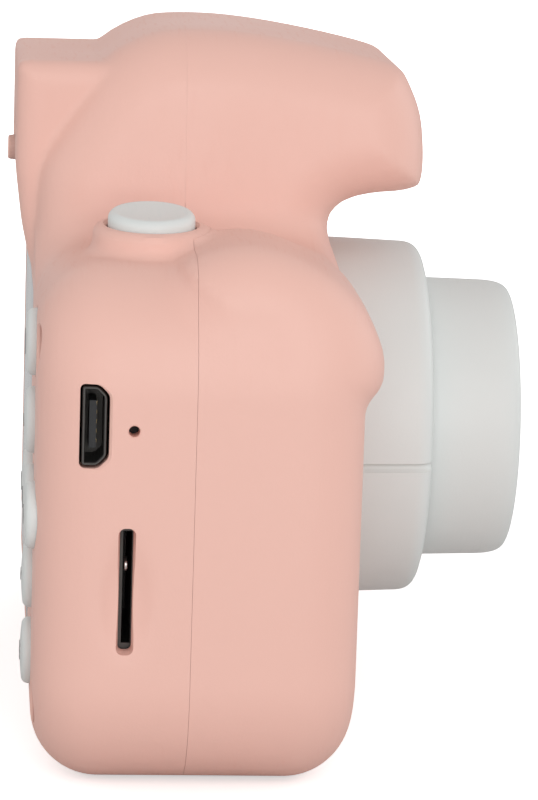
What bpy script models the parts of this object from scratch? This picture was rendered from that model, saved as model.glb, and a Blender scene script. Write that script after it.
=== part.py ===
"""Children's toy digital camera with a raised flash hump, a fixed wide lens and a rear screen.

Frame: +Z up, lens towards -Y, screen towards +Y, shutter and grip at -X.
The sizes below are measured from the middle of the case, halfway between its front and rear
faces, and the finished camera is then moved in Y so that the origin is below the middle of
its outline.
All sizes are in millimetres times MM, so every value reaches Blender in metres.
"""
import math

import bmesh
import bpy
from mathutils import Matrix, Vector

MM = 0.001

# --- case ---------------------------------------------------------------------------------
BODY_WIDTH = 96.0 * MM            # X, across both hands
BODY_DEPTH = 32.4 * MM            # Y, between the flat front and rear faces
DECK_HEIGHT = 52.5 * MM           # Z, underside to the top deck
CORNER_RADIUS = 12.0 * MM         # corners of the body seen from the front
EDGE_RADIUS = 6.5 * MM            # rounding between the faces and the sides
WALL = 2.0 * MM                   # thickness of both shells
PARTING_Y = 0.8 * MM              # plane where the two shells meet
PARTING_GAP = 0.3 * MM            # gap between the front and the rear shell
FIT = 0.3 * MM                    # running clearance between neighbouring pieces

# --- hump and eyepiece --------------------------------------------------------------------
HUMP_RISE = 20.6 * MM             # peak of the hump above the deck
HUMP_BASE_WIDTH = 39.0 * MM
HUMP_TOP_WIDTH = 31.0 * MM
OVERHANG = 8.2 * MM               # how far the hump reaches in front of the body
OVERHANG_CLEARANCE = 4.4 * MM     # height of its underside above the deck
EYEPIECE_WIDTH = 30.0 * MM
EYEPIECE_PROUD = 2.1 * MM         # how far the eyepiece block stands behind the rear face
EYEPIECE_DROP = 3.5 * MM          # its top below the hump's peak

# --- grip bulge ---------------------------------------------------------------------------
GRIP_WIDTH = 23.0 * MM
GRIP_PROUD = 2.1 * MM             # how far it stands in front of the body
GRIP_LIFT = 2.3 * MM              # how far it rises over the deck
GRIP_HALF_DEPTH = 11.8 * MM
GRIP_HALF_HEIGHT = 9.8 * MM

# --- lens ---------------------------------------------------------------------------------
LENS_HEIGHT = 30.0 * MM           # optical axis above the underside
BASE_RADIUS = 19.6 * MM
BASE_REACH = 10.0 * MM            # base barrel, in front of the body
FRONT_RADIUS = 15.4 * MM
FRONT_REACH = 9.9 * MM            # front barrel, in front of the base barrel
BARREL_WALL = 2.1 * MM
BARREL_ROUNDING = 1.5 * MM

# --- shutter ------------------------------------------------------------------------------
SHUTTER_X = -30.0 * MM
SHUTTER_Y = 4.8 * MM
COLLAR_RADIUS = 5.9 * MM
COLLAR_RISE = 2.7 * MM            # collar above the deck
SHUTTER_RADIUS = 4.4 * MM
SHUTTER_PROUD = 1.2 * MM          # button above its collar
SHUTTER_TRAVEL = 1.0 * MM
SHUTTER_FLANGE = 1.0 * MM         # thickness of the flange that holds it in

# --- rear buttons -------------------------------------------------------------------------
BUTTON_COLUMN_X = -31.5 * MM
UP_BUTTON_DROP = 17.2 * MM        # the second row's middle below the deck
BUTTON_PITCH = 8.0 * MM
BUTTON_RADIUS = 3.4 * MM
BUTTON_LIP = 0.15 * MM            # how far the flange reaches beyond its hole
BUTTON_PROUD = 0.9 * MM
BUTTON_TRAVEL = 0.6 * MM

# --- screen -------------------------------------------------------------------------------
SCREEN_WIDTH = 49.0 * MM
SCREEN_HEIGHT = 37.0 * MM
SCREEN_X = 11.0 * MM
SCREEN_Z = 26.5 * MM
SCREEN_GLASS = 1.2 * MM           # thickness of the window plate
DISPLAY_THICKNESS = 2.6 * MM

# --- boards and sockets -------------------------------------------------------------------
BOARD_THICKNESS = 1.0 * MM
BOARD_FRONT_Y = 8.2 * MM          # front face of the main board
BOARD_RIGHT_X = 5.0 * MM
SWITCH_SIZE = 6.0 * MM
PORT_DROP = 14.5 * MM             # its middle below the deck
PORT_HEIGHT = 7.8 * MM            # along Z
PORT_DEPTH = 2.4 * MM             # along Y
PORT_LENGTH = 5.2 * MM            # into the case
CARD_DROP = 30.9 * MM             # middle of the card slot below the deck
CARD_WIDTH = 12.3 * MM
CARD_SLOT = 1.3 * MM
RESET_DROP = 14.9 * MM            # pinhole below the deck
RESET_RADIUS = 0.55 * MM
SCREW_INSET_X = 8.5 * MM
SCREW_INSET_Z = 8.5 * MM
SCREW_RADIUS = 1.0 * MM
SCREW_HEAD_RADIUS = 2.2 * MM
BOSS_RADIUS = 3.0 * MM
BATTERY_SIZE = (32.0 * MM, 6.0 * MM, 32.0 * MM)
SPEAKER_RADIUS = 5.5 * MM
SPEAKER_THICKNESS = 3.0 * MM
REAR_CAMERA_RADIUS = 4.4 * MM
REAR_CAMERA_LIFT = 6.4 * MM       # its middle above the deck
REAR_CAMERA_DOME = 0.7 * MM       # crown of its window behind the eyepiece block
FLASH_RADIUS = 3.2 * MM

# --- places worked out from the sizes above -----------------------------------------------
SIDE_X = BODY_WIDTH / 2
FACE_Y = BODY_DEPTH / 2                       # rear face; the front face is at -FACE_Y
INNER_FACE_Y = FACE_Y - WALL
INNER_SIDE_X = SIDE_X - WALL
PEAK_Z = DECK_HEIGHT + HUMP_RISE
EYEPIECE_Y = FACE_Y + EYEPIECE_PROUD
EYEPIECE_TOP_Z = PEAK_Z - EYEPIECE_DROP
HUMP_FRONT_Y = -FACE_Y - OVERHANG
BASE_FRONT_Y = -FACE_Y - BASE_REACH
FRONT_FRONT_Y = BASE_FRONT_Y - FRONT_REACH
BOARD_REAR_Y = BOARD_FRONT_Y + BOARD_THICKNESS
COLLAR_TOP_Z = DECK_HEIGHT + COLLAR_RISE
PORT_Z = DECK_HEIGHT - PORT_DROP
CARD_Z = DECK_HEIGHT - CARD_DROP
RESET_Z = DECK_HEIGHT - RESET_DROP
SCREW_PLACES = [(sx * (SIDE_X - SCREW_INSET_X), z)
                for sx in (-1, 1)
                for z in (SCREW_INSET_Z, DECK_HEIGHT - SCREW_INSET_Z)]

PINK = (0.83, 0.49, 0.41)
WHITE = (0.74, 0.72, 0.69)


def clear_scene():
    """Remove every object so that the file always starts empty."""
    for obj in list(bpy.data.objects):
        bpy.data.objects.remove(obj, do_unlink=True)


def material(name, colour, roughness=0.5, metallic=0.0):
    """A Principled material for one sub-part."""
    mat = bpy.data.materials.new(name)
    mat.use_nodes = True
    shader = mat.node_tree.nodes["Principled BSDF"]
    shader.inputs["Base Color"].default_value = (*colour, 1.0)
    shader.inputs["Roughness"].default_value = roughness
    shader.inputs["Metallic"].default_value = metallic
    return mat


def add_object(name, bm, location=(0, 0, 0), finish=None):
    """Turn a bmesh into a named object whose faces point outwards."""
    bmesh.ops.recalc_face_normals(bm, faces=bm.faces)
    mesh = bpy.data.meshes.new(name)
    bm.to_mesh(mesh)
    bm.free()
    obj = bpy.data.objects.new(name, mesh)
    obj.location = location
    bpy.context.scene.collection.objects.link(obj)
    if finish is not None:
        mesh.materials.append(material(name, *finish))
    return obj


def rounded(obj, width, segments=3):
    """Round the sharp edges of an object by a fixed width."""
    bevel = obj.modifiers.new("rounding", 'BEVEL')
    bevel.width = width
    bevel.segments = segments
    bevel.limit_method = 'ANGLE'
    bevel.angle_limit = math.radians(60)
    obj.modifiers.new("triangles", 'TRIANGULATE')
    return obj


def boolean(obj, other, operation, label):
    """Join, cut or keep by another object.

    The thin shells use the manifold solver, because their many tangent walls and bosses
    leave open slivers with the exact one; every other piece keeps the exact solver.
    """
    step = obj.modifiers.new(label, 'BOOLEAN')
    step.object = other
    step.operation = operation
    step.solver = 'MANIFOLD' if obj.name.endswith("_shell") else 'EXACT'


def as_cutter(obj):
    """Mark an object as a tool that is not part of the camera."""
    obj.hide_render = True
    obj.display_type = 'WIRE'
    return obj


def smooth(obj, angle=30):
    """Shade a round piece smooth, keeping its sharp edges."""
    obj.data.shade_smooth()
    obj.data.set_sharp_from_angle(angle=math.radians(angle))
    return obj


def block(name, low, high, finish=None):
    """A box between two corners, with its origin in its middle."""
    low = Vector(low)
    high = Vector(high)
    bm = bmesh.new()
    bmesh.ops.create_cube(bm, size=1.0)
    bmesh.ops.scale(bm, vec=high - low, verts=bm.verts)
    return add_object(name, bm, (low + high) / 2, finish)


def prism(name, outline, axis, start, end, location=(0, 0, 0), finish=None):
    """Extrude a closed outline along X, Y or Z between two stations.

    The outline's two values are (y, z) for axis X, (x, z) for Y and (x, y) for Z.
    """
    place = {'X': lambda a, b: (start, a, b),
             'Y': lambda a, b: (a, start, b),
             'Z': lambda a, b: (a, b, start)}[axis]
    along = {'X': (1, 0, 0), 'Y': (0, 1, 0), 'Z': (0, 0, 1)}[axis]
    bm = bmesh.new()
    face = bm.faces.new([bm.verts.new(place(a, b)) for a, b in outline])
    grown = bmesh.ops.extrude_face_region(bm, geom=[face])
    new_verts = [part for part in grown["geom"] if isinstance(part, bmesh.types.BMVert)]
    bmesh.ops.translate(bm, vec=Vector(along) * (end - start), verts=new_verts)
    return add_object(name, bm, location, finish)


def turned(name, profile, axis, location, finish=None, steps=36):
    """Spin a closed profile of (radius, station along the axis) about X, Y or Z."""
    bm = bmesh.new()
    verts = [bm.verts.new((radius, 0, station)) for radius, station in profile]
    edges = [bm.edges.new((a, b)) for a, b in zip(verts, verts[1:] + verts[:1])
             if a.co.x > 0 or b.co.x > 0]
    bmesh.ops.spin(bm, geom=verts + edges, cent=(0, 0, 0), axis=(0, 0, 1),
                   angle=math.tau, steps=steps, use_merge=True)
    bmesh.ops.remove_doubles(bm, verts=bm.verts, dist=1e-6)
    bmesh.ops.dissolve_degenerate(bm, edges=bm.edges, dist=1e-7)
    turn = {'X': Matrix.Rotation(math.pi / 2, 3, 'Y'),
            'Y': Matrix.Rotation(-math.pi / 2, 3, 'X'),
            'Z': Matrix.Identity(3)}[axis]
    bmesh.ops.rotate(bm, matrix=turn, verts=bm.verts)
    return smooth(add_object(name, bm, location, finish))


def disc(name, radius, axis, start, end, across, finish=None, steps=24):
    """A plain round disc or pin; across is its centre in the other two axes."""
    station = {'X': 0, 'Y': 1, 'Z': 2}[axis]
    location = list(across)
    location.insert(station, start)
    length = end - start
    profile = [(0, 0), (radius, 0), (radius, length), (0, length)]
    return turned(name, profile, axis, location, finish, steps)


def arc(centre, radius, start, end, steps):
    """Points on an arc, angles in degrees."""
    return [(centre[0] + radius * math.cos(math.radians(start + (end - start) * i / steps)),
             centre[1] + radius * math.sin(math.radians(start + (end - start) * i / steps)))
            for i in range(steps + 1)]


def rounded_rectangle(low, high, radius, steps=5):
    """Closed outline of a rectangle with round corners."""
    return (arc((high[0] - radius, low[1] + radius), radius, -90, 0, steps)
            + arc((high[0] - radius, high[1] - radius), radius, 0, 90, steps)
            + arc((low[0] + radius, high[1] - radius), radius, 90, 180, steps)
            + arc((low[0] + radius, low[1] + radius), radius, 180, 270, steps))


def inset_outline(outline, distance):
    """Move every side of a closed anticlockwise outline inwards by a distance."""
    count = len(outline)
    result = []
    for i in range(count):
        before, here, after = (Vector(outline[(i + k) % count]) for k in (-1, 0, 1))
        side_in = (here - before).normalized()
        side_out = (after - here).normalized()
        normal_in = Vector((-side_in.y, side_in.x))
        normal_out = Vector((-side_out.y, side_out.x))
        middle = (normal_in + normal_out).normalized()
        result.append(tuple(here + middle * distance / middle.dot(normal_in)))
    return result


# --- solids that the two shells are made from ----------------------------------------------
def body_solid(name, inset):
    """The main body, from the outside (inset 0) or as its hollow (inset WALL)."""
    outline = rounded_rectangle((-SIDE_X + inset, inset), (SIDE_X - inset, DECK_HEIGHT - inset),
                                CORNER_RADIUS - inset)
    solid = prism(name, outline, 'Y', -FACE_Y + inset, FACE_Y - inset)
    return rounded(solid, EDGE_RADIUS - inset, 4)


def grip_solid(name, inset):
    """The finger bulge at the upper front of the grip side: an oval roll along X."""
    centre_y = -FACE_Y - GRIP_PROUD + GRIP_HALF_DEPTH
    centre_z = DECK_HEIGHT + GRIP_LIFT - GRIP_HALF_HEIGHT
    half_y = GRIP_HALF_DEPTH - inset
    half_z = GRIP_HALF_HEIGHT - inset
    outline = [(centre_y + half_y * c, centre_z + half_z * s) for c, s in arc((0, 0), 1.0, 0, 345, 23)]
    start = -SIDE_X + EDGE_RADIUS / 4 + inset
    solid = prism(name, outline, 'X', start, start + GRIP_WIDTH - 2 * inset)
    return rounded(solid, EDGE_RADIUS - inset, 3)


def hump_outline():
    """Side view of the hump as (y, z): rear slope, crowned roof, overhang and throat."""
    under_z = DECK_HEIGHT + OVERHANG_CLEARANCE
    throat_y = -FACE_Y + WALL
    low_z = DECK_HEIGHT - EDGE_RADIUS
    return [(throat_y, low_z),
            (FACE_Y - 0.3 * MM, low_z),
            (FACE_Y - 0.3 * MM, under_z + 0.8 * MM),
            (FACE_Y - 6.9 * MM, PEAK_Z - 3.2 * MM),
            (FACE_Y - 11.7 * MM, PEAK_Z - 0.5 * MM),
            (0.0, PEAK_Z),
            (HUMP_FRONT_Y + 19.0 * MM, PEAK_Z - 0.3 * MM),
            (HUMP_FRONT_Y + 11.5 * MM, PEAK_Z - 1.5 * MM),
            (HUMP_FRONT_Y + 3.2 * MM, PEAK_Z - 3.6 * MM),
            (HUMP_FRONT_Y + 1.2 * MM, PEAK_Z - 6.2 * MM),
            (HUMP_FRONT_Y, PEAK_Z - 11.0 * MM),
            (HUMP_FRONT_Y + 0.4 * MM, under_z + 0.6 * MM),
            (HUMP_FRONT_Y + 1.6 * MM, under_z),
            (throat_y - 3.6 * MM, under_z - 0.4 * MM),
            (throat_y - 1.0 * MM, under_z - 2.2 * MM),
            (throat_y, DECK_HEIGHT)]


def hump_solid(name, inset):
    """The hump, narrower at the top; its hollow is open into the body below."""
    outline = hump_outline()
    if inset:
        outline = inset_outline(outline, inset)
    solid = prism(name, outline, 'X', -0.5, 0.5)
    for vert in solid.data.vertices:
        share = (vert.co.z - DECK_HEIGHT) / HUMP_RISE
        width = HUMP_BASE_WIDTH + (HUMP_TOP_WIDTH - HUMP_BASE_WIDTH) * share
        vert.co.x = math.copysign(width / 2 - inset, vert.co.x)
    return rounded(solid, 3.5 * MM - inset, 3)


def eyepiece_solid(name, inset):
    """The block round the eyepiece, whose rear face leans into the body lower down."""
    front_y = FACE_Y - 10.0 * MM
    low_z = DECK_HEIGHT - 5.5 * MM
    outline = [(front_y, low_z),
               (FACE_Y, low_z),
               (FACE_Y + 0.5 * MM, low_z + 1.5 * MM),
               (EYEPIECE_Y - 0.7 * MM, DECK_HEIGHT),
               (EYEPIECE_Y, DECK_HEIGHT + 6.5 * MM),
               (EYEPIECE_Y, EYEPIECE_TOP_Z),
               (front_y, EYEPIECE_TOP_Z)]
    if inset:
        outline = inset_outline(outline, inset)
    solid = prism(name, outline, 'X', -EYEPIECE_WIDTH / 2 + inset, EYEPIECE_WIDTH / 2 - inset)
    return rounded(solid, 2.4 * MM - inset, 3)


def collar_solid(name, grow=0.0):
    """The round seat of the shutter button, standing on the deck."""
    top = COLLAR_TOP_Z + grow
    radius = COLLAR_RADIUS + grow
    start = DECK_HEIGHT - WALL - grow
    profile = [(0, 0), (radius, 0), (radius, top - start - 1.0 * MM),
               (radius - 0.4 * MM, top - start - 0.3 * MM), (radius - 1.0 * MM, top - start),
               (0, top - start)]
    return turned(name, profile, 'Z', (SHUTTER_X, SHUTTER_Y, start), steps=24)


# --- the two shells ------------------------------------------------------------------------
def build_shells():
    """Front and rear shell: one hollow case, cut in two at the parting plane."""
    guides = {
        "outer": [grip_solid("grip_outer", 0.0), hump_solid("hump_outer", 0.0),
                  eyepiece_solid("eyepiece_outer", 0.0), collar_solid("collar_outer")],
        "inner": [body_solid("body_inner", WALL), grip_solid("grip_inner", WALL),
                  hump_solid("hump_inner", WALL), eyepiece_solid("eyepiece_inner", WALL)],
    }
    reach = BODY_WIDTH
    edge = PARTING_GAP / 2
    halves = {
        "front_shell": block("front_half", (-reach, -reach, -reach), (reach, PARTING_Y - edge, reach)),
        "rear_shell": block("rear_half", (-reach, PARTING_Y + edge, -reach), (reach, reach, reach)),
    }
    collar_room = disc("collar_room", COLLAR_RADIUS + PARTING_GAP, 'Z', DECK_HEIGHT - 2 * WALL,
                       PEAK_Z, (SHUTTER_X, SHUTTER_Y))
    collar_seat = disc("collar_seat", COLLAR_RADIUS, 'Z', DECK_HEIGHT - WALL,
                       COLLAR_TOP_Z + WALL, (SHUTTER_X, SHUTTER_Y))
    for cutter in guides["outer"] + guides["inner"] + list(halves.values()):
        as_cutter(cutter)
    as_cutter(collar_room)
    as_cutter(collar_seat)
    shells = {}
    for name, half in halves.items():
        shell = body_solid(name, 0.0)
        shell.data.materials.append(material(name, PINK, 0.45))
        for guide in guides["outer"]:
            boolean(shell, guide, 'UNION', "add_" + guide.name)
        for guide in guides["inner"]:
            boolean(shell, guide, 'DIFFERENCE', "hollow_" + guide.name)
        if name == "rear_shell":
            boolean(half, collar_seat, 'UNION', "keep_collar")
        boolean(shell, half, 'INTERSECT', "part")
        if name == "front_shell":
            boolean(shell, collar_room, 'DIFFERENCE', "clear_collar")
        shells[name] = shell
    return shells["front_shell"], shells["rear_shell"]


def cut(shell, cutter):
    """Cut a shell with a tool object."""
    boolean(shell, as_cutter(cutter), 'DIFFERENCE', "cut_" + cutter.name)


def join(shell, addition):
    """Fuse a boss or rib to a shell."""
    boolean(shell, as_cutter(addition), 'UNION', "join_" + addition.name)


def add_case_screws(front, rear):
    """Four self-tapping screws from the rear, with their bosses in both shells."""
    seat_y = FACE_Y - 1.8 * WALL
    head_thickness = 1.6 * MM
    tip_y = -9.0 * MM
    for number, (x, z) in enumerate(SCREW_PLACES, start=1):
        join(rear, disc(f"rear_boss_{number}", BOSS_RADIUS, 'Y', PARTING_Y + PARTING_GAP,
                        INNER_FACE_Y + WALL / 4, (x, z), steps=20))
        wall_y = -INNER_FACE_Y - WALL / 4
        if x < 0 and z > DECK_HEIGHT / 2:
            wall_y -= GRIP_PROUD
        join(front, disc(f"front_boss_{number}", BOSS_RADIUS, 'Y', wall_y,
                         PARTING_Y - PARTING_GAP, (x, z), steps=20))
        cut(rear, disc(f"screw_head_room_{number}", SCREW_HEAD_RADIUS + FIT, 'Y', seat_y,
                       FACE_Y + WALL, (x, z), steps=20))
        cut(rear, disc(f"screw_room_{number}", SCREW_RADIUS + FIT, 'Y', -WALL, seat_y + WALL,
                       (x, z), steps=20))
        cut(front, disc(f"screw_bore_{number}", SCREW_RADIUS + FIT, 'Y', tip_y - FIT, WALL,
                        (x, z), steps=20))
        head_y = seat_y + FIT
        slot_depth = 0.9 * MM
        profile = [(0, tip_y), (0.5 * MM, tip_y), (SCREW_RADIUS, tip_y + 1.5 * MM),
                   (SCREW_RADIUS, head_y), (SCREW_HEAD_RADIUS, head_y),
                   (SCREW_HEAD_RADIUS, head_y + 0.7 * head_thickness),
                   (0.7 * SCREW_HEAD_RADIUS, head_y + head_thickness), (0, head_y + head_thickness)]
        screw = turned(f"case_screw_{number}", profile, 'Y', (x, 0, z),
                       ((0.45, 0.45, 0.47), 0.3, 1.0), steps=20)
        slot_top = head_y + head_thickness
        half_long = 0.6 * SCREW_HEAD_RADIUS
        half_wide = 0.3 * MM
        for turn, (half_x, half_z) in enumerate(((half_long, half_wide), (half_wide, half_long))):
            cut(screw, block(f"drive_slot_{number}_{turn}",
                             (x - half_x, slot_top - slot_depth, z - half_z),
                             (x + half_x, slot_top + WALL, z + half_z)))


# --- lens ----------------------------------------------------------------------------------
def lens_flange_radius():
    """Radius of the base barrel's two ears behind the front wall."""
    return BASE_RADIUS + 1.6 * MM


def add_base_barrel(front):
    """The wide white barrel, held behind the front wall by two ears."""
    centre = (0, 0, LENS_HEIGHT)
    opening = disc("base_opening", BASE_RADIUS + FIT, 'Y', -FACE_Y - WALL,
                   -FACE_Y + EDGE_RADIUS + WALL, (0, LENS_HEIGHT), steps=40)
    cut(front, opening)
    ear_front = -INNER_FACE_Y + FIT
    ear_rear = ear_front + 1.5 * MM
    bore = BASE_RADIUS - BARREL_WALL
    lip = FRONT_RADIUS + FIT
    rim = BASE_RADIUS - 0.4 * MM
    profile = [(bore, ear_rear), (BASE_RADIUS, ear_rear), (BASE_RADIUS, -FACE_Y),
               (rim, BASE_FRONT_Y + BARREL_ROUNDING)]
    profile += [(r, y) for r, y in arc((rim - BARREL_ROUNDING, BASE_FRONT_Y + BARREL_ROUNDING),
                                       BARREL_ROUNDING, 0, -90, 3)[1:]]
    profile += [(lip, BASE_FRONT_Y), (lip, BASE_FRONT_Y + BARREL_WALL),
                (bore, BASE_FRONT_Y + BARREL_WALL)]
    barrel = turned("lens_base_barrel", profile, 'Y', centre, (WHITE, 0.4), steps=40)
    ears = turned("base_ears", [(bore + WALL / 2, ear_front), (lens_flange_radius(), ear_front),
                                (lens_flange_radius(), ear_rear - 0.01 * MM),
                                (bore + WALL / 2, ear_rear - 0.01 * MM)],
                  'Y', centre, steps=40)
    half_height = 0.55 * BASE_RADIUS
    keep = as_cutter(block("ears_band", (-BODY_WIDTH, -BODY_DEPTH, LENS_HEIGHT - half_height),
                           (BODY_WIDTH, BODY_DEPTH, LENS_HEIGHT + half_height)))
    boolean(ears, keep, 'INTERSECT', "band")
    join(barrel, ears)
    return ear_rear


def add_front_barrel():
    """The narrower barrel in front, its optics and the camera module behind them."""
    centre = (0, 0, LENS_HEIGHT)
    flange_front = BASE_FRONT_Y + BARREL_WALL + FIT
    flange_rear = flange_front + 1.5 * MM
    flange_radius = BASE_RADIUS - BARREL_WALL - FIT
    bore = FRONT_RADIUS - 4.8 * MM
    seat = FRONT_RADIUS - 3.3 * MM
    seat_y = FRONT_FRONT_Y + 6.1 * MM
    rounding = 2.2 * MM
    rim = FRONT_RADIUS - 0.3 * MM
    profile = [(bore, flange_rear), (flange_radius, flange_rear), (flange_radius, flange_front),
               (FRONT_RADIUS, flange_front), (rim, FRONT_FRONT_Y + rounding)]
    profile += arc((rim - rounding, FRONT_FRONT_Y + rounding), rounding, 0, -90, 4)[1:]
    profile += [(seat + 0.5 * MM, FRONT_FRONT_Y), (seat, FRONT_FRONT_Y + 0.8 * MM),
                (seat, seat_y), (bore, seat_y)]
    turned("lens_front_barrel", profile, 'Y', centre, (WHITE, 0.4), steps=40)

    trim_outer = seat - FIT
    trim_rear = seat_y - FIT
    trim_front = trim_rear - 2.6 * MM
    turned("lens_trim_ring",
           [(0.62 * trim_outer, trim_rear), (trim_outer, trim_rear), (trim_outer, trim_front),
            (trim_outer - 0.9 * MM, trim_front), (0.62 * trim_outer, trim_rear - 0.6 * MM)],
           'Y', centre, ((0.03, 0.03, 0.035), 0.35), steps=40)

    window_front = seat_y + FIT
    disc("lens_window", bore - FIT, 'Y', window_front, window_front + 1.2 * MM,
         (0, LENS_HEIGHT), ((0.10, 0.11, 0.13), 0.05), steps=40)

    bracket_front = flange_rear + FIT
    bracket_rear = bracket_front + 1.2 * MM
    half = 4.25 * MM
    bracket = disc("camera_bracket", flange_radius, 'Y', bracket_front, bracket_rear,
                   (0, LENS_HEIGHT), ((0.04, 0.04, 0.045), 0.6), steps=40)
    cut(bracket, block("module_room",
                       (-half - FIT, bracket_front - WALL, LENS_HEIGHT - half - FIT),
                       (half + FIT, bracket_rear + WALL, LENS_HEIGHT + half + FIT)))
    module = block("front_camera_module", (-half, bracket_front - 1.5 * MM, LENS_HEIGHT - half),
                   (half, bracket_rear + 2.4 * MM, LENS_HEIGHT + half), ((0.03, 0.03, 0.03), 0.5))
    snout_front = window_front + 1.2 * MM + FIT
    snout = turned("camera_snout",
                   [(1.8 * MM, snout_front + 0.8 * MM), (1.8 * MM, snout_front),
                    (3.0 * MM, snout_front), (3.4 * MM, snout_front + 0.5 * MM),
                    (3.4 * MM, bracket_front), (0, bracket_front), (0, snout_front + 0.8 * MM)],
                   'Y', centre, steps=24)
    join(module, snout)
    turned("front_camera_lens",
           [(0, snout_front + 0.1 * MM), (0.8 * MM, snout_front + 0.2 * MM),
            (1.5 * MM, snout_front + 0.45 * MM), (1.5 * MM, snout_front + 0.7 * MM),
            (0, snout_front + 0.7 * MM)],
           'Y', centre, ((0.05, 0.06, 0.12), 0.05), steps=24)
    ribbon_start = bracket_rear + 2.4 * MM + FIT
    block("front_camera_ribbon", (-2.5 * MM, ribbon_start, LENS_HEIGHT - 0.15 * MM),
          (2.5 * MM, BOARD_FRONT_Y - FIT, LENS_HEIGHT + 0.15 * MM), ((0.55, 0.25, 0.06), 0.4))
    return window_front


# --- flash and rear camera in the hump -----------------------------------------------------
def add_flash(front):
    """Flash window in the front of the hump, with its light on a small board."""
    half = 3.2 * MM
    z = DECK_HEIGHT + OVERHANG_CLEARANCE + WALL + 2 * FIT + half
    glass_front = HUMP_FRONT_Y + 0.3 * MM
    seat_y = glass_front + 1.0 * MM
    cut(front, disc("flash_room", FLASH_RADIUS + FIT, 'Y', HUMP_FRONT_Y - WALL, seat_y + FIT,
                    (0, z), steps=20))
    cut(front, disc("flash_opening", FLASH_RADIUS - 0.8 * MM, 'Y', seat_y - WALL,
                    HUMP_FRONT_Y + 2.5 * WALL, (0, z), steps=20))
    disc("flash_window", FLASH_RADIUS, 'Y', glass_front, seat_y, (0, z), ((0.9, 0.9, 0.85), 0.1),
         steps=20)
    led_front = seat_y + 2 * FIT
    board_front = HUMP_FRONT_Y + WALL + 3.2 * MM
    disc("flash_light", FLASH_RADIUS - 0.8 * MM - FIT, 'Y', led_front, board_front - FIT, (0, z),
         ((0.92, 0.88, 0.55), 0.2), steps=20)
    block("flash_board", (-half, board_front, z - half),
          (half, board_front + BOARD_THICKNESS, z + half), ((0.03, 0.16, 0.07), 0.5))


def add_rear_camera(rear):
    """Second camera behind a round window in the eyepiece block."""
    z = DECK_HEIGHT + REAR_CAMERA_LIFT
    seat_y = EYEPIECE_Y - 1.2 * MM
    cut(rear, disc("rear_camera_room", REAR_CAMERA_RADIUS + FIT, 'Y', seat_y - FIT, EYEPIECE_Y + WALL,
                   (0, z), steps=24))
    cut(rear, disc("rear_camera_opening", REAR_CAMERA_RADIUS - 1.2 * MM, 'Y', EYEPIECE_Y - 2 * WALL,
                   seat_y + WALL, (0, z), steps=24))
    crown = [(REAR_CAMERA_RADIUS * math.cos(math.radians(a)),
              EYEPIECE_Y + REAR_CAMERA_DOME * math.sin(math.radians(a))) for a in (0, 30, 55, 75)]
    turned("rear_camera_window",
           [(0, seat_y), (REAR_CAMERA_RADIUS, seat_y)] + crown + [(0, EYEPIECE_Y + REAR_CAMERA_DOME)],
           'Y', (0, 0, z), ((0.08, 0.08, 0.09), 0.08), steps=24)
    module_rear = EYEPIECE_Y - WALL - 2 * FIT
    half = 3.5 * MM
    depth = 4.6 * MM
    block("rear_camera_module", (-half, module_rear - depth, z - half),
          (half, module_rear, z + half), ((0.03, 0.03, 0.03), 0.5))
    ribbon_y = BOARD_REAR_Y + FIT
    block("rear_camera_ribbon", (-2.5 * MM, ribbon_y, DECK_HEIGHT - 8.0 * MM),
          (2.5 * MM, ribbon_y + FIT, z - half - FIT), ((0.55, 0.25, 0.06), 0.4))


# --- buttons -------------------------------------------------------------------------------
def button_places():
    """Name, X and Z of each rear button: two single ones and a cross of five."""
    rows = [DECK_HEIGHT - UP_BUTTON_DROP + row * BUTTON_PITCH for row in (1, 0, -1, -2, -3)]
    x = BUTTON_COLUMN_X
    return [("power", x, rows[0]), ("up", x, rows[1]), ("left", x + BUTTON_PITCH, rows[2]),
            ("ok", x, rows[2]), ("right", x - BUTTON_PITCH, rows[2]), ("down", x, rows[3]),
            ("menu", x, rows[4])]


def add_switch(name, x, z):
    """A low tact switch standing on the rear face of the main board."""
    low_y = BOARD_REAR_Y + FIT
    height = 1.9 * MM
    half = SWITCH_SIZE / 2
    body = block(name, (x - half, low_y, z - half), (x + half, low_y + 0.7 * height, z + half),
                 ((0.05, 0.05, 0.05), 0.5))
    join(body, disc(name + "_plunger", 1.5 * MM, 'Y', low_y + 0.4 * height, low_y + height, (x, z),
                    steps=16))
    return low_y + height


def add_rear_button(rear, name, x, z):
    """A round cap through the rear wall, with a flange that holds it in."""
    cut(rear, disc(name + "_hole", BUTTON_RADIUS + FIT, 'Y', INNER_FACE_Y - WALL, FACE_Y + WALL,
                   (x, z), steps=20))
    switch_top = add_switch(name + "_switch", x, z)
    flange_radius = BUTTON_RADIUS + FIT + BUTTON_LIP
    cut(rear, disc(name + "_spot_face", flange_radius + FIT, 'Y', INNER_FACE_Y - 2 * WALL,
                   INNER_FACE_Y + 0.1 * MM, (x, z), steps=20))
    flange_rear = INNER_FACE_Y - FIT
    flange_front = flange_rear - 0.8 * MM
    stem_tip = switch_top + BUTTON_TRAVEL + FIT
    top = FACE_Y + BUTTON_PROUD
    edge = 0.6 * MM
    profile = [(0, stem_tip), (1.3 * MM, stem_tip), (1.3 * MM, flange_front),
               (flange_radius, flange_front), (flange_radius, flange_rear),
               (BUTTON_RADIUS, flange_rear), (BUTTON_RADIUS, top - edge)]
    profile += arc((BUTTON_RADIUS - edge, top - edge), edge, 0, 90, 2)[1:]
    profile += [(0.45 * BUTTON_RADIUS, top + 0.15 * MM), (0, top + 0.2 * MM)]
    turned(name + "_button", profile, 'Y', (x, 0, z), (WHITE, 0.4), steps=20)


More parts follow.
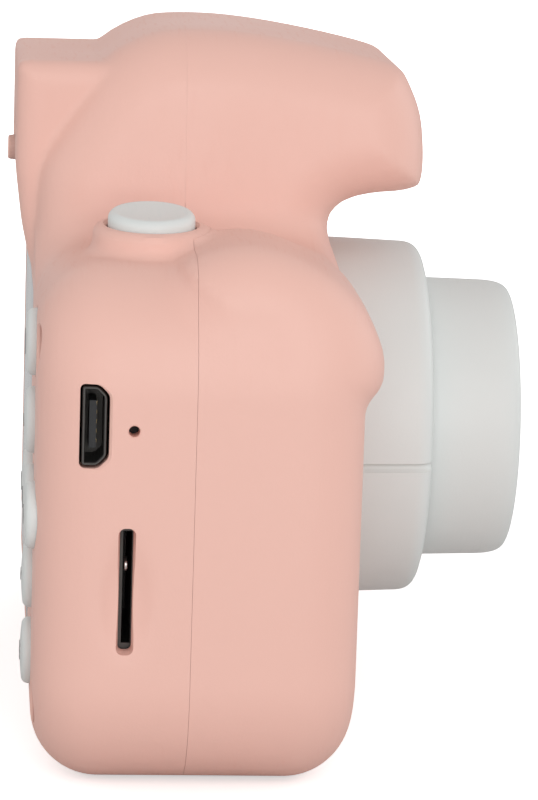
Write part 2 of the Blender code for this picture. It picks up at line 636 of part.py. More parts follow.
def add_shutter(rear):
    """The shutter button in its collar, the switch below it and that switch's board."""
    cut(rear, disc("shutter_hole", SHUTTER_RADIUS + FIT, 'Z', DECK_HEIGHT - 2 * WALL,
                   COLLAR_TOP_Z + WALL, (SHUTTER_X, SHUTTER_Y), steps=24))
    top = COLLAR_TOP_Z + SHUTTER_PROUD
    edge = 0.7 * MM
    flange_top = DECK_HEIGHT - WALL - FIT
    flange_bottom = flange_top - SHUTTER_FLANGE
    flange_radius = SHUTTER_RADIUS + 1.0 * MM
    stem_tip = flange_bottom - 1.6 * MM
    profile = [(0, stem_tip), (1.5 * MM, stem_tip), (1.5 * MM, flange_bottom),
               (flange_radius, flange_bottom), (flange_radius, flange_top),
               (SHUTTER_RADIUS, flange_top), (SHUTTER_RADIUS, top - edge)]
    profile += arc((SHUTTER_RADIUS - edge, top - edge), edge, 0, 90, 3)[1:]
    profile += [(0.5 * SHUTTER_RADIUS, top + 0.1 * MM), (0, top + 0.15 * MM)]
    turned("shutter_button", profile, 'Z', (SHUTTER_X, SHUTTER_Y, 0), (WHITE, 0.4), steps=24)

    plunger_top = stem_tip - SHUTTER_TRAVEL - FIT
    housing_top = plunger_top - 0.7 * MM
    housing_bottom = housing_top - 3.3 * MM
    half = SWITCH_SIZE / 2
    switch = block("shutter_switch", (SHUTTER_X - half, SHUTTER_Y - half, housing_bottom),
                   (SHUTTER_X + half, SHUTTER_Y + half, housing_top), ((0.05, 0.05, 0.05), 0.5))
    join(switch, disc("shutter_plunger", 1.6 * MM, 'Z', housing_top - MM, plunger_top,
                      (SHUTTER_X, SHUTTER_Y), steps=16))
    board_top = housing_bottom - FIT
    block("shutter_switch_board",
          (SHUTTER_X - 5 * MM, -2.0 * MM, board_top - BOARD_THICKNESS),
          (SHUTTER_X + 5 * MM, BOARD_FRONT_Y - FIT, board_top), ((0.03, 0.16, 0.07), 0.5))


# --- screen --------------------------------------------------------------------------------
def add_screen(rear):
    """Window plate in a recess of the rear wall, and the display behind it."""
    half_w = SCREEN_WIDTH / 2
    half_h = SCREEN_HEIGHT / 2
    low = (SCREEN_X - half_w, SCREEN_Z - half_h)
    high = (SCREEN_X + half_w, SCREEN_Z + half_h)
    corner = 2.0 * MM
    recess_y = FACE_Y - SCREEN_GLASS
    room = rounded_rectangle((low[0] - FIT, low[1] - FIT), (high[0] + FIT, high[1] + FIT),
                             corner + FIT, 3)
    cut(rear, prism("screen_room", room, 'Y', recess_y, FACE_Y + WALL))
    ledge = 2.5 * MM
    opening = [(low[0] + ledge, low[1] + ledge), (high[0] - ledge, low[1] + ledge),
               (high[0] - ledge, high[1] - ledge), (low[0] + ledge, high[1] - ledge)]
    cut(rear, prism("screen_opening", opening, 'Y', INNER_FACE_Y - WALL, FACE_Y + WALL))
    prism("screen_window", rounded_rectangle(low, high, corner, 3), 'Y', recess_y + FIT, FACE_Y,
          finish=((0.02, 0.02, 0.025), 0.08))
    display_rear = INNER_FACE_Y - FIT
    margin = 1.0 * MM
    display_front = display_rear - DISPLAY_THICKNESS
    block("screen_display", (low[0] + margin, display_front, low[1] + margin),
          (high[0] - margin, display_rear, high[1] - margin), ((0.10, 0.11, 0.12), 0.3))
    ribbon_x = BOARD_RIGHT_X - 9.0 * MM
    ribbon_z = low[1] + 6.0 * MM
    block("screen_ribbon", (ribbon_x, BOARD_REAR_Y + FIT, ribbon_z),
          (ribbon_x + 8.0 * MM, display_front - FIT, ribbon_z + FIT), ((0.55, 0.25, 0.06), 0.4))


# --- main board ----------------------------------------------------------------------------
def add_main_board(rear):
    """The upright board behind the buttons, with the parts that it carries."""
    left_x = -INNER_SIDE_X + 0.6 * MM
    low_z = WALL + 1.5 * MM
    high_z = DECK_HEIGHT - WALL - FIT - SHUTTER_FLANGE - SHUTTER_TRAVEL - FIT
    board = block("main_board", (left_x, BOARD_FRONT_Y, low_z), (BOARD_RIGHT_X, BOARD_REAR_Y, high_z),
                  ((0.03, 0.16, 0.07), 0.5))
    for number, (x, z) in enumerate(SCREW_PLACES[:2], start=1):
        cut(board, disc(f"board_notch_{number}", BOSS_RADIUS + FIT, 'Y', BOARD_FRONT_Y - WALL,
                        BOARD_REAR_Y + WALL, (x, z), steps=20))
        out_x = -SIDE_X
        corner_z = -WALL if z < DECK_HEIGHT / 2 else z
        cut(board, block(f"board_corner_{number}", (out_x, BOARD_FRONT_Y - WALL, corner_z),
                         (x, BOARD_REAR_Y + WALL, corner_z + z + WALL)))
        cut(board, block(f"board_side_{number}",
                         (out_x, BOARD_FRONT_Y - WALL, z - BOSS_RADIUS - FIT),
                         (x, BOARD_REAR_Y + WALL, z + BOSS_RADIUS + FIT)))
    post_radius = 2.2 * MM
    x = SCREEN_X - SCREEN_WIDTH / 2 - post_radius - 0.2 * MM
    for number, z in enumerate((low_z + 3.5 * MM, high_z - 3.5 * MM), start=1):
        join(rear, disc(f"board_post_{number}", post_radius, 'Y', BOARD_REAR_Y + FIT,
                        INNER_FACE_Y + WALL / 4, (x, z), steps=16))
        cut(rear, disc(f"board_post_bore_{number}", 0.8 * MM + FIT, 'Y', BOARD_REAR_Y - WALL,
                       INNER_FACE_Y - 0.5 * MM, (x, z), steps=16))
        cut(board, disc(f"board_hole_{number}", 0.8 * MM + FIT, 'Y', BOARD_FRONT_Y - WALL,
                        BOARD_REAR_Y + WALL, (x, z), steps=16))
        head_rear = BOARD_FRONT_Y - FIT
        turned(f"board_screw_{number}",
               [(0, head_rear - 1.2 * MM), (1.2 * MM, head_rear - 1.2 * MM),
                (1.8 * MM, head_rear - 0.6 * MM), (1.8 * MM, head_rear), (0.8 * MM, head_rear),
                (0.8 * MM, INNER_FACE_Y - 1.6 * MM), (0, INNER_FACE_Y - 1.0 * MM)],
               'Y', (x, 0, z), ((0.45, 0.45, 0.47), 0.3, 1.0), steps=16)
    chip_rear = BOARD_FRONT_Y - FIT
    middle_z = DECK_HEIGHT / 2
    block("processor", (-18 * MM, chip_rear - 1.0 * MM, middle_z - 5 * MM),
          (-8 * MM, chip_rear, middle_z + 5 * MM), ((0.03, 0.03, 0.03), 0.45))
    add_microphone(rear, x, middle_z)


def add_microphone(rear, x, z):
    """A small microphone on the board behind a pinhole."""
    low_y = BOARD_REAR_Y + FIT
    half = 1.6 * MM
    block("microphone", (x - half, low_y, z - half), (x + half, low_y + 1.2 * MM, z + half),
          ((0.6, 0.58, 0.5), 0.35, 0.9))
    cut(rear, disc("microphone_hole", RESET_RADIUS, 'Y', INNER_FACE_Y - WALL, FACE_Y + WALL, (x, z),
                   steps=16))


def port_outline(grow):
    """Outline of the charging port as (y, z): a rectangle with its two front corners cut off."""
    middle_y = BOARD_REAR_Y + FIT + PORT_DEPTH / 2
    half_y = PORT_DEPTH / 2 + grow
    half_z = PORT_HEIGHT / 2 + grow
    chamfer = 0.9 * MM
    return [(middle_y - half_y, PORT_Z - half_z + chamfer),
            (middle_y - half_y + chamfer, PORT_Z - half_z), (middle_y + half_y, PORT_Z - half_z),
            (middle_y + half_y, PORT_Z + half_z), (middle_y - half_y + chamfer, PORT_Z + half_z),
            (middle_y - half_y, PORT_Z + half_z - chamfer)]


def add_side_sockets(rear):
    """Charging socket, memory card socket and reset switch, reached from the grip side."""
    mouth_x = -SIDE_X + 0.5 * MM
    through = (-SIDE_X - WALL, -INNER_SIDE_X + WALL)
    steel = ((0.55, 0.55, 0.57), 0.3, 1.0)
    cut(rear, prism("port_opening", port_outline(FIT), 'X', *through))
    shell = prism("charging_socket", port_outline(0.0), 'X', mouth_x, mouth_x + PORT_LENGTH,
                  finish=steel)
    sheet = 0.3 * MM
    cut(shell, prism("port_hollow", port_outline(-sheet), 'X', mouth_x - WALL,
                     mouth_x + PORT_LENGTH - 2 * sheet))
    tongue_y = BOARD_REAR_Y + FIT + PORT_DEPTH / 2
    block("charging_tongue", (mouth_x + 1.0 * MM, tongue_y - 0.2 * MM, PORT_Z - 0.3 * PORT_HEIGHT),
          (mouth_x + PORT_LENGTH - 2 * sheet - FIT, tongue_y + 0.5 * MM, PORT_Z + 0.3 * PORT_HEIGHT),
          ((0.02, 0.02, 0.02), 0.5))

    card_y = BOARD_FRONT_Y - 0.9 * MM
    half_slot = CARD_SLOT / 2
    half_card = CARD_WIDTH / 2
    cut(rear, block("card_opening", (through[0], card_y - half_slot, CARD_Z - half_card),
                    (through[1], card_y + half_slot, CARD_Z + half_card)))
    socket_x = -INNER_SIDE_X + FIT
    socket = block("card_socket", (socket_x, card_y - 1.1 * MM, CARD_Z - half_card - 1.2 * MM),
                   (socket_x + 14.5 * MM, card_y + 0.6 * MM, CARD_Z + half_card + 1.2 * MM), steel)
    cut(socket, block("card_room", (socket_x - WALL, card_y - 0.6 * MM, CARD_Z - half_card + 0.5 * MM),
                      (socket_x + 13.5 * MM, card_y + 0.3 * MM, CARD_Z + half_card - 0.5 * MM)))

    cut(rear, disc("reset_hole", RESET_RADIUS, 'X', *through, (card_y, RESET_Z), steps=16))
    reset_half = 1.5 * MM
    block("reset_switch", (socket_x, card_y - reset_half, RESET_Z - reset_half),
          (socket_x + 3.0 * MM, BOARD_FRONT_Y - FIT, RESET_Z + reset_half), ((0.1, 0.1, 0.1), 0.5))


# --- power and sound -----------------------------------------------------------------------
def add_battery(ear_rear):
    """Flat rechargeable cell behind the lens ears, with its lead to the board."""
    width, depth, height = BATTERY_SIZE
    low = Vector((3.6 * MM, ear_rear + 1.0 * MM, 8.0 * MM))
    cell = block("battery", low, low + Vector(BATTERY_SIZE), ((0.55, 0.57, 0.60), 0.35))
    rounded(cell, 1.0 * MM, 2)
    top = low.z + height
    start = Vector((low.x + 3.0 * MM, low.y + depth / 2, top + FIT))
    end = Vector((BOARD_RIGHT_X - 3.0 * MM, BOARD_FRONT_Y - 2 * FIT, DECK_HEIGHT - 7.0 * MM))
    lead("battery_lead", start, Vector((0, 0, 5.0 * MM)), end, Vector((0, 5.0 * MM, 0)), 0.55 * MM)


def lead(name, start, leave, end, arrive, radius):
    """A wire along one cubic Bezier from start to end, leaving and arriving as given."""
    points = []
    steps = 12
    for i in range(steps + 1):
        t = i / steps
        points.append(start * (1 - t) ** 3 + (start + leave) * 3 * t * (1 - t) ** 2
                      + (end - arrive) * 3 * t ** 2 * (1 - t) + end * t ** 3)
    curve = bpy.data.curves.new(name, 'CURVE')
    curve.dimensions = '3D'
    spline = curve.splines.new('POLY')
    spline.points.add(steps)
    for place, point in zip(spline.points, points):
        place.co = (*point, 1.0)
    curve.bevel_depth = radius
    curve.bevel_resolution = 2
    curve.use_fill_caps = True
    curve.materials.append(material(name, (0.35, 0.02, 0.02), 0.45))
    wire = bpy.data.objects.new(name, curve)
    bpy.context.scene.collection.objects.link(wire)
    return wire


def add_speaker(front):
    """A small round speaker behind seven holes in the side wall."""
    y = -7.0 * MM
    z = 22.0 * MM
    rear_x = INNER_SIDE_X - 1.6 * MM
    disc("speaker", SPEAKER_RADIUS, 'X', rear_x - SPEAKER_THICKNESS, rear_x, (y, z),
         ((0.06, 0.06, 0.06), 0.5), steps=20)
    places = [(0.0, 0.0)] + [(2.6 * MM * c, 2.6 * MM * s) for c, s in arc((0, 0), 1.0, 0, 300, 5)]
    for number, (dy, dz) in enumerate(places, start=1):
        cut(front, disc(f"speaker_hole_{number}", 0.7 * MM, 'X', INNER_SIDE_X - WALL, SIDE_X + WALL,
                        (y + dy, z + dz), steps=12))


def stand_on_origin():
    """Move the camera as one so that the origin is below the middle of its outline.

    The outline's middle in Y lies between the front barrel's rim and the rear camera's dome.
    """
    base = bpy.data.objects.new("camera_base", None)
    base.location = (0, -(FRONT_FRONT_Y + EYEPIECE_Y + REAR_CAMERA_DOME) / 2, 0)
    bpy.context.scene.collection.objects.link(base)
    for obj in bpy.data.objects:
        if obj is not base and obj.parent is None:
            obj.parent = base


def main():
    """Build the whole camera."""
    clear_scene()
    front, rear = build_shells()
    add_case_screws(front, rear)
    ear_rear = add_base_barrel(front)
    add_front_barrel()
    add_flash(front)
    add_rear_camera(rear)
    for name, x, z in button_places():
        add_rear_button(rear, name, x, z)
    add_shutter(rear)
    add_screen(rear)
    add_main_board(rear)
    add_side_sockets(rear)
    add_battery(ear_rear)
    add_speaker(front)
    stand_on_origin()


main()
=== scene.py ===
"""Looks of the children's camera: smooth shells, turned barrels, caps, glass and finishes.

Sizes are in millimetres, measured on the ground under the middle between the case's two flat
faces; +Z is up, the lens points along -Y and the grip is at -X. Bench turns them into the
frame's metres when a mesh is made.
"""

import logging
import math
from collections.abc import Callable, Iterable, Sequence
from dataclasses import dataclass, field
from enum import Enum

import bmesh
import bpy
import numpy as np
from mathutils import Matrix, Vector


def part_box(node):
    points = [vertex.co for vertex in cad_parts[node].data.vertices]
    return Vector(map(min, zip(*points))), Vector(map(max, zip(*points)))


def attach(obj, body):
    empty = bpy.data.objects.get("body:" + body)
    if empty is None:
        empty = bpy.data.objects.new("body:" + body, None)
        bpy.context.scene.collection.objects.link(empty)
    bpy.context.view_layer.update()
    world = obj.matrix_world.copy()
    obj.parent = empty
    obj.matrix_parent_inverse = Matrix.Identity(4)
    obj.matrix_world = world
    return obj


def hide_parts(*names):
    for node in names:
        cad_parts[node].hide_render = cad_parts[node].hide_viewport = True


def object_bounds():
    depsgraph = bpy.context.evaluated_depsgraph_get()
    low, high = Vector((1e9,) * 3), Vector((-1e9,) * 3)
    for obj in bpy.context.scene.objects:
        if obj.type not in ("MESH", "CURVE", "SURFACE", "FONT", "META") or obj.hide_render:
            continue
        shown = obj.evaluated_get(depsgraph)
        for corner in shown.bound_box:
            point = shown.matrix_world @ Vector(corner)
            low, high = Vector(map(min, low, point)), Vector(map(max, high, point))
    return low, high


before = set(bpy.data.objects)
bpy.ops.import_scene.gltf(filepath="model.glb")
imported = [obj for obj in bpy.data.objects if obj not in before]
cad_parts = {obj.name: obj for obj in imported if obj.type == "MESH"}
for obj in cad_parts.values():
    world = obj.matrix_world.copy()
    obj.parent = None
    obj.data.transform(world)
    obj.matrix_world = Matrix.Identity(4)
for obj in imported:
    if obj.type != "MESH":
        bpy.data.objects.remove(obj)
cad_low, cad_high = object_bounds()

logging.basicConfig(level=logging.INFO, format="%(message)s")
LOG = logging.getLogger("camera")

Array = np.ndarray
Surface = tuple[Array, list[list[int]]]
MM = 0.001


# --- finishes --------------------------------------------------------------------------------
class Look(Enum):
    """Every finish on the camera, by the name of its material."""

    CASE = "pink_case"
    WHITE = "white_moulding"
    BLACK = "black_moulding"
    INK = "grey_ink"
    LENS_GLASS = "coated_glass"
    PUPIL = "lens_pupil"
    SCREEN = "screen_glass"
    FLASH = "flash_cover"
    STEEL = "pressed_steel"
    # Dark metal whose colour is painted shade: it stands for the dark inside of the charging socket and
    # the card socket, not for the tin's own colour.
    SHADE_DARK_TIN = "tin_painted_shade_dark"
    SCREW = "turned_steel"
    GOLD = "gold_contact"
    BOARD = "circuit_board"
    CHIP = "chip_resin"
    LED = "led_resin"
    FILM = "ribbon_film"
    PANEL = "display_panel"
    WRAP = "battery_wrap"
    WIRE = "red_wire"
    CONE = "speaker_cone"


Socket = bpy.types.NodeSocket
Colour = tuple[float, float, float]


class Nodes:
    """A node tree with short calls for adding and linking nodes."""

    def __init__(self, tree: bpy.types.NodeTree) -> None:
        """Keep a material's, world's or group's node tree and empty it."""
        self.tree = tree
        tree.nodes.clear()

    def add(self, kind: str, inputs: dict | None = None, **settings: object) -> bpy.types.Node:
        """Add a node, set its properties and give its inputs values or links.

        Args:
            kind: the node's type name without the ShaderNode prefix.
            inputs: socket name or number to a value or to another node's output.
            settings: properties of the node, such as operation.

        Returns:
            The new node.
        """
        node = self.tree.nodes.new(kind if kind.startswith("Node") else "ShaderNode" + kind)
        for key, value in settings.items():
            setattr(node, key, value)
        for socket, value in (inputs or {}).items():
            if isinstance(value, Socket):
                self.tree.links.new(value, node.inputs[socket])
            else:
                node.inputs[socket].default_value = value
        return node

    def group(self, group: bpy.types.NodeTree, inputs: dict) -> Socket:
        """Place a shared node group with its inputs and return its output."""
        return self.add("Group", inputs, node_tree=group).outputs[0]

    def noise(self, vector: Socket, scale: Socket | float, detail: float) -> Socket:
        """Value of a noise texture."""
        inputs = {"Vector": vector, "Scale": scale, "Detail": detail}
        return self.add("TexNoise", inputs).outputs["Fac"]

    def maths(self, operation: str, *values: Socket | float) -> Socket:
        """Result of a maths node."""
        return self.add("Math", dict(enumerate(values)), operation=operation).outputs[0]

    def vector(self, operation: str, *values: Socket | Colour) -> bpy.types.Node:
        """A vector maths node."""
        return self.add("VectorMath", dict(enumerate(values)), operation=operation)

    def remap(self, value: Socket, start: float, end: float, low: Socket | float = 0.0,
              high: Socket | float = 1.0) -> Socket:
        """A value moved from one range to another and held inside it."""
        return self.add("MapRange", {"Value": value, "From Min": start, "From Max": end,
                                     "To Min": low, "To Max": high}).outputs["Result"]

    def mixed(self, share: Socket, first: Socket, second: Socket | Colour) -> Socket:
        """The first colour with a share of the second one."""
        other = (*second, 1.0) if isinstance(second, tuple) else second
        return self.add("Mix", {0: share, 6: first, 7: other}, data_type="RGBA").outputs[2]


class SharedEffects:
    """Node groups that several materials place with their own values."""

    def __init__(self) -> None:
        """Build each group once."""
        self.grain = self._group("mould_grain", "Height", self._grain, Scale=3000.0)
        self.tone = self._group("tone_drift", "Colour", self._tone, Scale=30.0, Amount=0.5,
                                Colour="Color", Drift="Color")
        self.handling = self._group("handled_patches", "Roughness", self._handling, Scale=60.0,
                                    Low=0.35, High=0.5)
        self.scratches = self._group("hairlines", "Mask", self._scratches, Scale=200.0,
                                     Stretch="Vector")

    @staticmethod
    def _group(name: str, output: str, wire: Callable[[Nodes, dict], Socket],
               **inputs: float | str) -> bpy.types.NodeTree:
        """Make a group with a Vector input, further inputs and one output.

        Args:
            name: the group's name.
            output: the output's name.
            wire: adds the nodes between them and returns the last one's output.
            inputs: each further input's default value, or its kind.

        Returns:
            The group.
        """
        group = bpy.data.node_groups.new(name, "ShaderNodeTree")
        for label, value in {"Vector": "Vector", **inputs}.items():
            kind = value if isinstance(value, str) else "Float"
            socket = group.interface.new_socket(label, in_out="INPUT",
                                                socket_type="NodeSocket" + kind)
            if kind == "Float":
                socket.default_value = value
        kind = "Color" if output == "Colour" else "Float"
        group.interface.new_socket(output, in_out="OUTPUT", socket_type="NodeSocket" + kind)
        nodes = Nodes(group)
        nodes.add("NodeGroupOutput", {0: wire(nodes, nodes.add("NodeGroupInput").outputs)})
        return group

    @staticmethod
    def _grain(nodes: Nodes, given: dict) -> Socket:
        """Fine pitted grain of a textured mould: two sizes of noise added together."""
        fine = nodes.noise(given["Vector"], given["Scale"], 2.0)
        wide = nodes.noise(given["Vector"], nodes.maths("MULTIPLY", given["Scale"], 0.28), 1.0)
        return nodes.maths("MULTIPLY_ADD", wide, 0.45, fine)

    @staticmethod
    def _tone(nodes: Nodes, given: dict) -> Socket:
        """Slow drift of a colour towards a second one, as pigment gives."""
        noise = nodes.noise(given["Vector"], given["Scale"], 3.0)
        share = nodes.maths("MULTIPLY", noise, given["Amount"])
        return nodes.mixed(share, given["Colour"], given["Drift"])

    @staticmethod
    def _handling(nodes: Nodes, given: dict) -> Socket:
        """Roughness that changes in soft patches where a surface has been handled."""
        noise = nodes.noise(given["Vector"], given["Scale"], 4.0)
        return nodes.remap(noise, 0.35, 0.65, given["Low"], given["High"])

    @staticmethod
    def _scratches(nodes: Nodes, given: dict) -> Socket:
        """Thin hairline marks along one direction, as a mask from 0 to 1."""
        placed = nodes.vector("MULTIPLY", given["Vector"], given["Stretch"]).outputs[0]
        return nodes.remap(nodes.noise(placed, given["Scale"], 2.0), 0.58, 0.66)


@dataclass(frozen=True)
class Finish:
    """A moulded, pressed or painted surface: its colours, sheen and grain.

    Attributes:
        colour: main colour, linear.
        drift: the colour it drifts towards.
        amount: how far it drifts, 0 to 1.
        gloss: lowest and highest roughness.
        grain: size of the grain in grains per metre.
        relief: depth of the grain in millimetres.
        metallic: 1 for bare metal.
        coat: weight of a clear coat.
        specular: strength of the plain reflection.
        hairlines: how much the hairline marks change the roughness.
        stretch: how each axis is squeezed for the hairlines.
    """

    colour: Colour
    drift: Colour
    amount: float = 0.5
    gloss: tuple[float, float] = (0.4, 0.5)
    grain: float = 3200.0
    relief: float = 0.012
    metallic: float = 0.0
    coat: float = 0.0
    specular: float = 0.5
    hairlines: float = 0.12
    stretch: tuple[float, float, float] = (1.0, 9.0, 1.0)

    def build(self, name: str, effects: SharedEffects) -> bpy.types.Material:
        """Make the material.

        Args:
            name: the material's name.
            effects: the shared node groups.

        Returns:
            The finished material.
        """
        material = bpy.data.materials.new(name)
        material.use_nodes = True
        nodes = Nodes(material.node_tree)
        place = nodes.add("TexCoord").outputs["Object"]
        patches = nodes.group(effects.handling, {"Vector": place, "Scale": 70.0,
                                                 "Low": self.gloss[0], "High": self.gloss[1]})
        lines = nodes.group(effects.scratches, {"Vector": place, "Scale": 260.0,
                                                "Stretch": self.stretch})
        grain = nodes.group(effects.grain, {"Vector": place, "Scale": self.grain})
        bump = nodes.add("Bump", {"Height": grain, "Strength": 1.0, "Distance": self.relief * MM})
        shader = nodes.add("BsdfPrincipled", {
            "Base Color": self.tint(nodes, effects, place), "Metallic": self.metallic,
            "Roughness": nodes.maths("MULTIPLY_ADD", lines, self.hairlines, patches),
            "Coat Weight": self.coat, "Coat Roughness": 0.12,
            "Specular IOR Level": self.specular, "Normal": bump.outputs["Normal"]})
        self.extras(shader)
        nodes.add("OutputMaterial", {"Surface": shader.outputs["BSDF"]})
        return material

    def tint(self, nodes: Nodes, effects: SharedEffects, place: Socket) -> Socket:
        """Colour over the surface: the main colour drifting slowly towards the second one."""
        return nodes.group(effects.tone, {"Vector": place, "Scale": 45.0, "Amount": self.amount,
                                          "Colour": (*self.colour, 1.0),
                                          "Drift": (*self.drift, 1.0)})

    def extras(self, shader: bpy.types.Node) -> None:
        """Room for a kind of finish to add to the shader; a plain one adds nothing."""


@dataclass(frozen=True)
class BoardFinish(Finish):
    """Green circuit board: copper tracks under solder resist and rows of plated pads."""

    track: Colour = (0.05, 0.30, 0.12)
    pad: Colour = (0.72, 0.60, 0.36)

    def tint(self, nodes: Nodes, effects: SharedEffects, place: Socket) -> Socket:
        """Tracks are the thin bands between cells, and pads are dots at the cells' middles."""
        base = super().tint(nodes, effects, place)
        cells = {"Vector": place, "Scale": 420.0, "Randomness": 0.35}
        edge = nodes.add("TexVoronoi", cells, feature="DISTANCE_TO_EDGE").outputs["Distance"]
        tracks = nodes.mixed(nodes.remap(edge, 0.06, 0.09, 1.0, 0.0), base, self.track)
        middle = nodes.add("TexVoronoi", cells).outputs["Distance"]
        return nodes.mixed(nodes.remap(middle, 0.16, 0.2, 1.0, 0.0), tracks, self.pad)


@dataclass(frozen=True)
class StripedFinish(Finish):
    """A surface with fine parallel lines along one axis, such as ribbon conductors."""

    line: Colour = (0.8, 0.5, 0.2)
    pitch: float = 0.5
    axis: str = "X"

    def tint(self, nodes: Nodes, effects: SharedEffects, place: Socket) -> Socket:
        """Lines are where a saw wave along the axis is above its middle."""
        base = super().tint(nodes, effects, place)
        wave = nodes.add("TexWave", {"Vector": place, "Scale": 1.0 / (self.pitch * MM) / 3.2,
                                     "Distortion": 0.0}, bands_direction=self.axis)
        return nodes.mixed(nodes.remap(wave.outputs["Fac"], 0.45, 0.55), base, self.line)


@dataclass(frozen=True)
class WindowFinish(Finish):
    """Cover glass with a black printed border round a slightly lighter middle.

    Attributes:
        centre: middle of the clear area in metres.
        half: half its width and half its height in metres.
        clear: colour seen through the clear area.
    """

    centre: tuple[float, float, float] = (0.0, 0.0, 0.0)
    half: tuple[float, float] = (0.02, 0.02)
    clear: Colour = (0.02, 0.025, 0.03)

    def tint(self, nodes: Nodes, effects: SharedEffects, place: Socket) -> Socket:
        """The clear area is where both distances from its middle are under its half sizes."""
        base = super().tint(nodes, effects, place)
        off = nodes.vector("SUBTRACT", place, self.centre).outputs[0]
        axes = nodes.add("SeparateXYZ", {0: nodes.vector("ABSOLUTE", off).outputs[0]}).outputs
        inside = [nodes.maths("LESS_THAN", axes[name], half)
                  for name, half in zip("XZ", self.half)]
        return nodes.mixed(nodes.maths("MULTIPLY", *inside), base, self.clear)


@dataclass(frozen=True)
class GlassFinish(Finish):
    """Clear glass or resin that lets light through."""

    transmission: float = 1.0
    ior: float = 1.5

    def extras(self, shader: bpy.types.Node) -> None:
        """Set how much light passes and how strongly it bends."""
        shader.inputs["Transmission Weight"].default_value = self.transmission
        shader.inputs["IOR"].default_value = self.ior


@dataclass(frozen=True)
class CoatedFinish(Finish):
    """Dark lens glass whose coating shifts colour from the middle to the rim.

    Attributes:
        rim: colour of the coating at the rim.
        centre: middle of the lens in metres.
        reach: radius of the rim in metres.
    """

    rim: Colour = (0.03, 0.05, 0.10)
    centre: tuple[float, float, float] = (0.0, 0.0, 0.0)
    reach: float = 0.004

    def tint(self, nodes: Nodes, effects: SharedEffects, place: Socket) -> Socket:
        """The share of the rim colour grows with the distance from the middle."""
        away = nodes.vector("DISTANCE", place, self.centre).outputs["Value"]
        share = nodes.remap(away, 0.15 * self.reach, self.reach)
        return nodes.mixed(share, super().tint(nodes, effects, place), self.rim)


# --- surfaces --------------------------------------------------------------------------------
def softened(corners: Sequence[tuple[float, float]], reach: float | Sequence[float] = 0.3,
             steps: int = 5, closed: bool = False) -> Array:
    """Turn a polyline's corners into short curves.

    Each corner P becomes the parabola (1-s)^2 A + 2 s (1-s) P + s^2 B, where A and B lie on
    the two sides at the reach from P, and never past 0.48 of a side.

    Args:
        corners: the polyline's points.
        reach: how far from a corner its curve starts, for all corners or for each one.
        steps: points on a curve, less one.
        closed: whether the last point joins the first.

    Returns:
        The new points, one row each.
    """
    points = np.asarray(corners, float)
    before = np.roll(points, 1, axis=0) - points
    after = np.roll(points, -1, axis=0) - points
    length_before = np.linalg.norm(before, axis=1, keepdims=True)
    length_after = np.linalg.norm(after, axis=1, keepdims=True)
    wanted = np.broadcast_to(np.asarray(reach, float), len(points))[:, None]
    start = points + before / length_before * np.minimum(wanted, 0.48 * length_before)
    end = points + after / length_after * np.minimum(wanted, 0.48 * length_after)
    s = np.linspace(0, 1, steps + 1)[None, :, None]
    curves = (1 - s) ** 2 * start[:, None] + 2 * s * (1 - s) * points[:, None] + s ** 2 * end[:, None]
    if closed:
        return curves.reshape(-1, points.shape[1])
    middle = curves[1:-1].reshape(-1, points.shape[1])
    return np.concatenate([points[:1], middle, points[-1:]])


def grid_faces(rows: int, columns: int, wrap_rows: bool = False) -> list[list[int]]:
    """Quads of a grid whose columns wrap round.

    Args:
        rows: number of rings.
        columns: points on a ring.
        wrap_rows: whether the last ring joins the first.

    Returns:
        The quads as lists of four point numbers.
    """
    row = np.arange(rows if wrap_rows else rows - 1)[:, None]
    column = np.arange(columns)[None, :]
    row_next = (row + 1) % rows
    column_next = (column + 1) % columns
    quads = np.stack([row * columns + column, row * columns + column_next,
                      row_next * columns + column_next, row_next * columns + column], axis=-1)
    return quads.reshape(-1, 4).tolist()


def loft(rings: Array, hollow: bool = False) -> Surface:
    """Skin over rings of equal size, closed by a flat cap at each end.

    Args:
        rings: array of rings, points on a ring, and x y z.
        hollow: whether the last ring joins the first instead of being capped.

    Returns:
        The points and faces.
    """
    count, around = rings.shape[:2]
    faces = grid_faces(count, around, hollow)
    if not hollow:
        faces.append(list(range(around))[::-1])
        faces.append(list(range((count - 1) * around, count * around)))
    return rings.reshape(-1, 3), faces


def turned(profile: Array, centre: Sequence[float], axis: str = "Y", segments: int = 96,
           angles: Array | None = None, dent: Callable[[Array, Array], Array] | None = None
           ) -> Surface:
    """Revolve a profile: point (s, t) is the profile's radius at s, turned by the angle t.

    A profile that starts and ends on the axis gets one point at each pole. Any other profile
    is a closed ring, such as a barrel wall.

    Args:
        profile: radius and station along the axis, one row for each point.
        centre: a point on the axis; its value along the axis is added to the stations.
        axis: Y or Z.
        segments: points round the axis, when no angles are given.
        angles: the angles in radians.
        dent: depth taken from the radius, as a function of the angles and the stations.

    Returns:
        The points and faces.
    """
    turn = np.arange(segments) * math.tau / segments if angles is None else angles
    poles = profile[0, 0] == 0 and profile[-1, 0] == 0
    ring = profile[1:-1] if poles else profile
    radius = ring[:, :1] - (dent(turn[None, :], ring[:, 1:]) if dent else 0.0)
    radius = np.broadcast_to(radius, (len(ring), len(turn)))
    station = np.broadcast_to(ring[:, 1:], radius.shape)
    across = radius * np.cos(turn)
    up = radius * np.sin(turn)
    order = (across, station, up) if axis == "Y" else (across, up, station)
    points = np.stack(order, axis=-1).reshape(-1, 3)
    faces = grid_faces(len(ring), len(turn), not poles)
    if poles:
        ends = np.zeros((2, 3))
        ends[:, "XYZ".index(axis)] = profile[[0, -1], 1]
        first = len(points)
        near = np.arange(len(turn))
        far = near + (len(ring) - 1) * len(turn)
        faces += np.stack([np.roll(near, -1), near, np.full_like(near, first)], axis=-1).tolist()
        faces += np.stack([far, np.roll(far, -1), np.full_like(far, first + 1)], axis=-1).tolist()
        points = np.concatenate([points, ends])
    return points + np.asarray(centre, float), faces


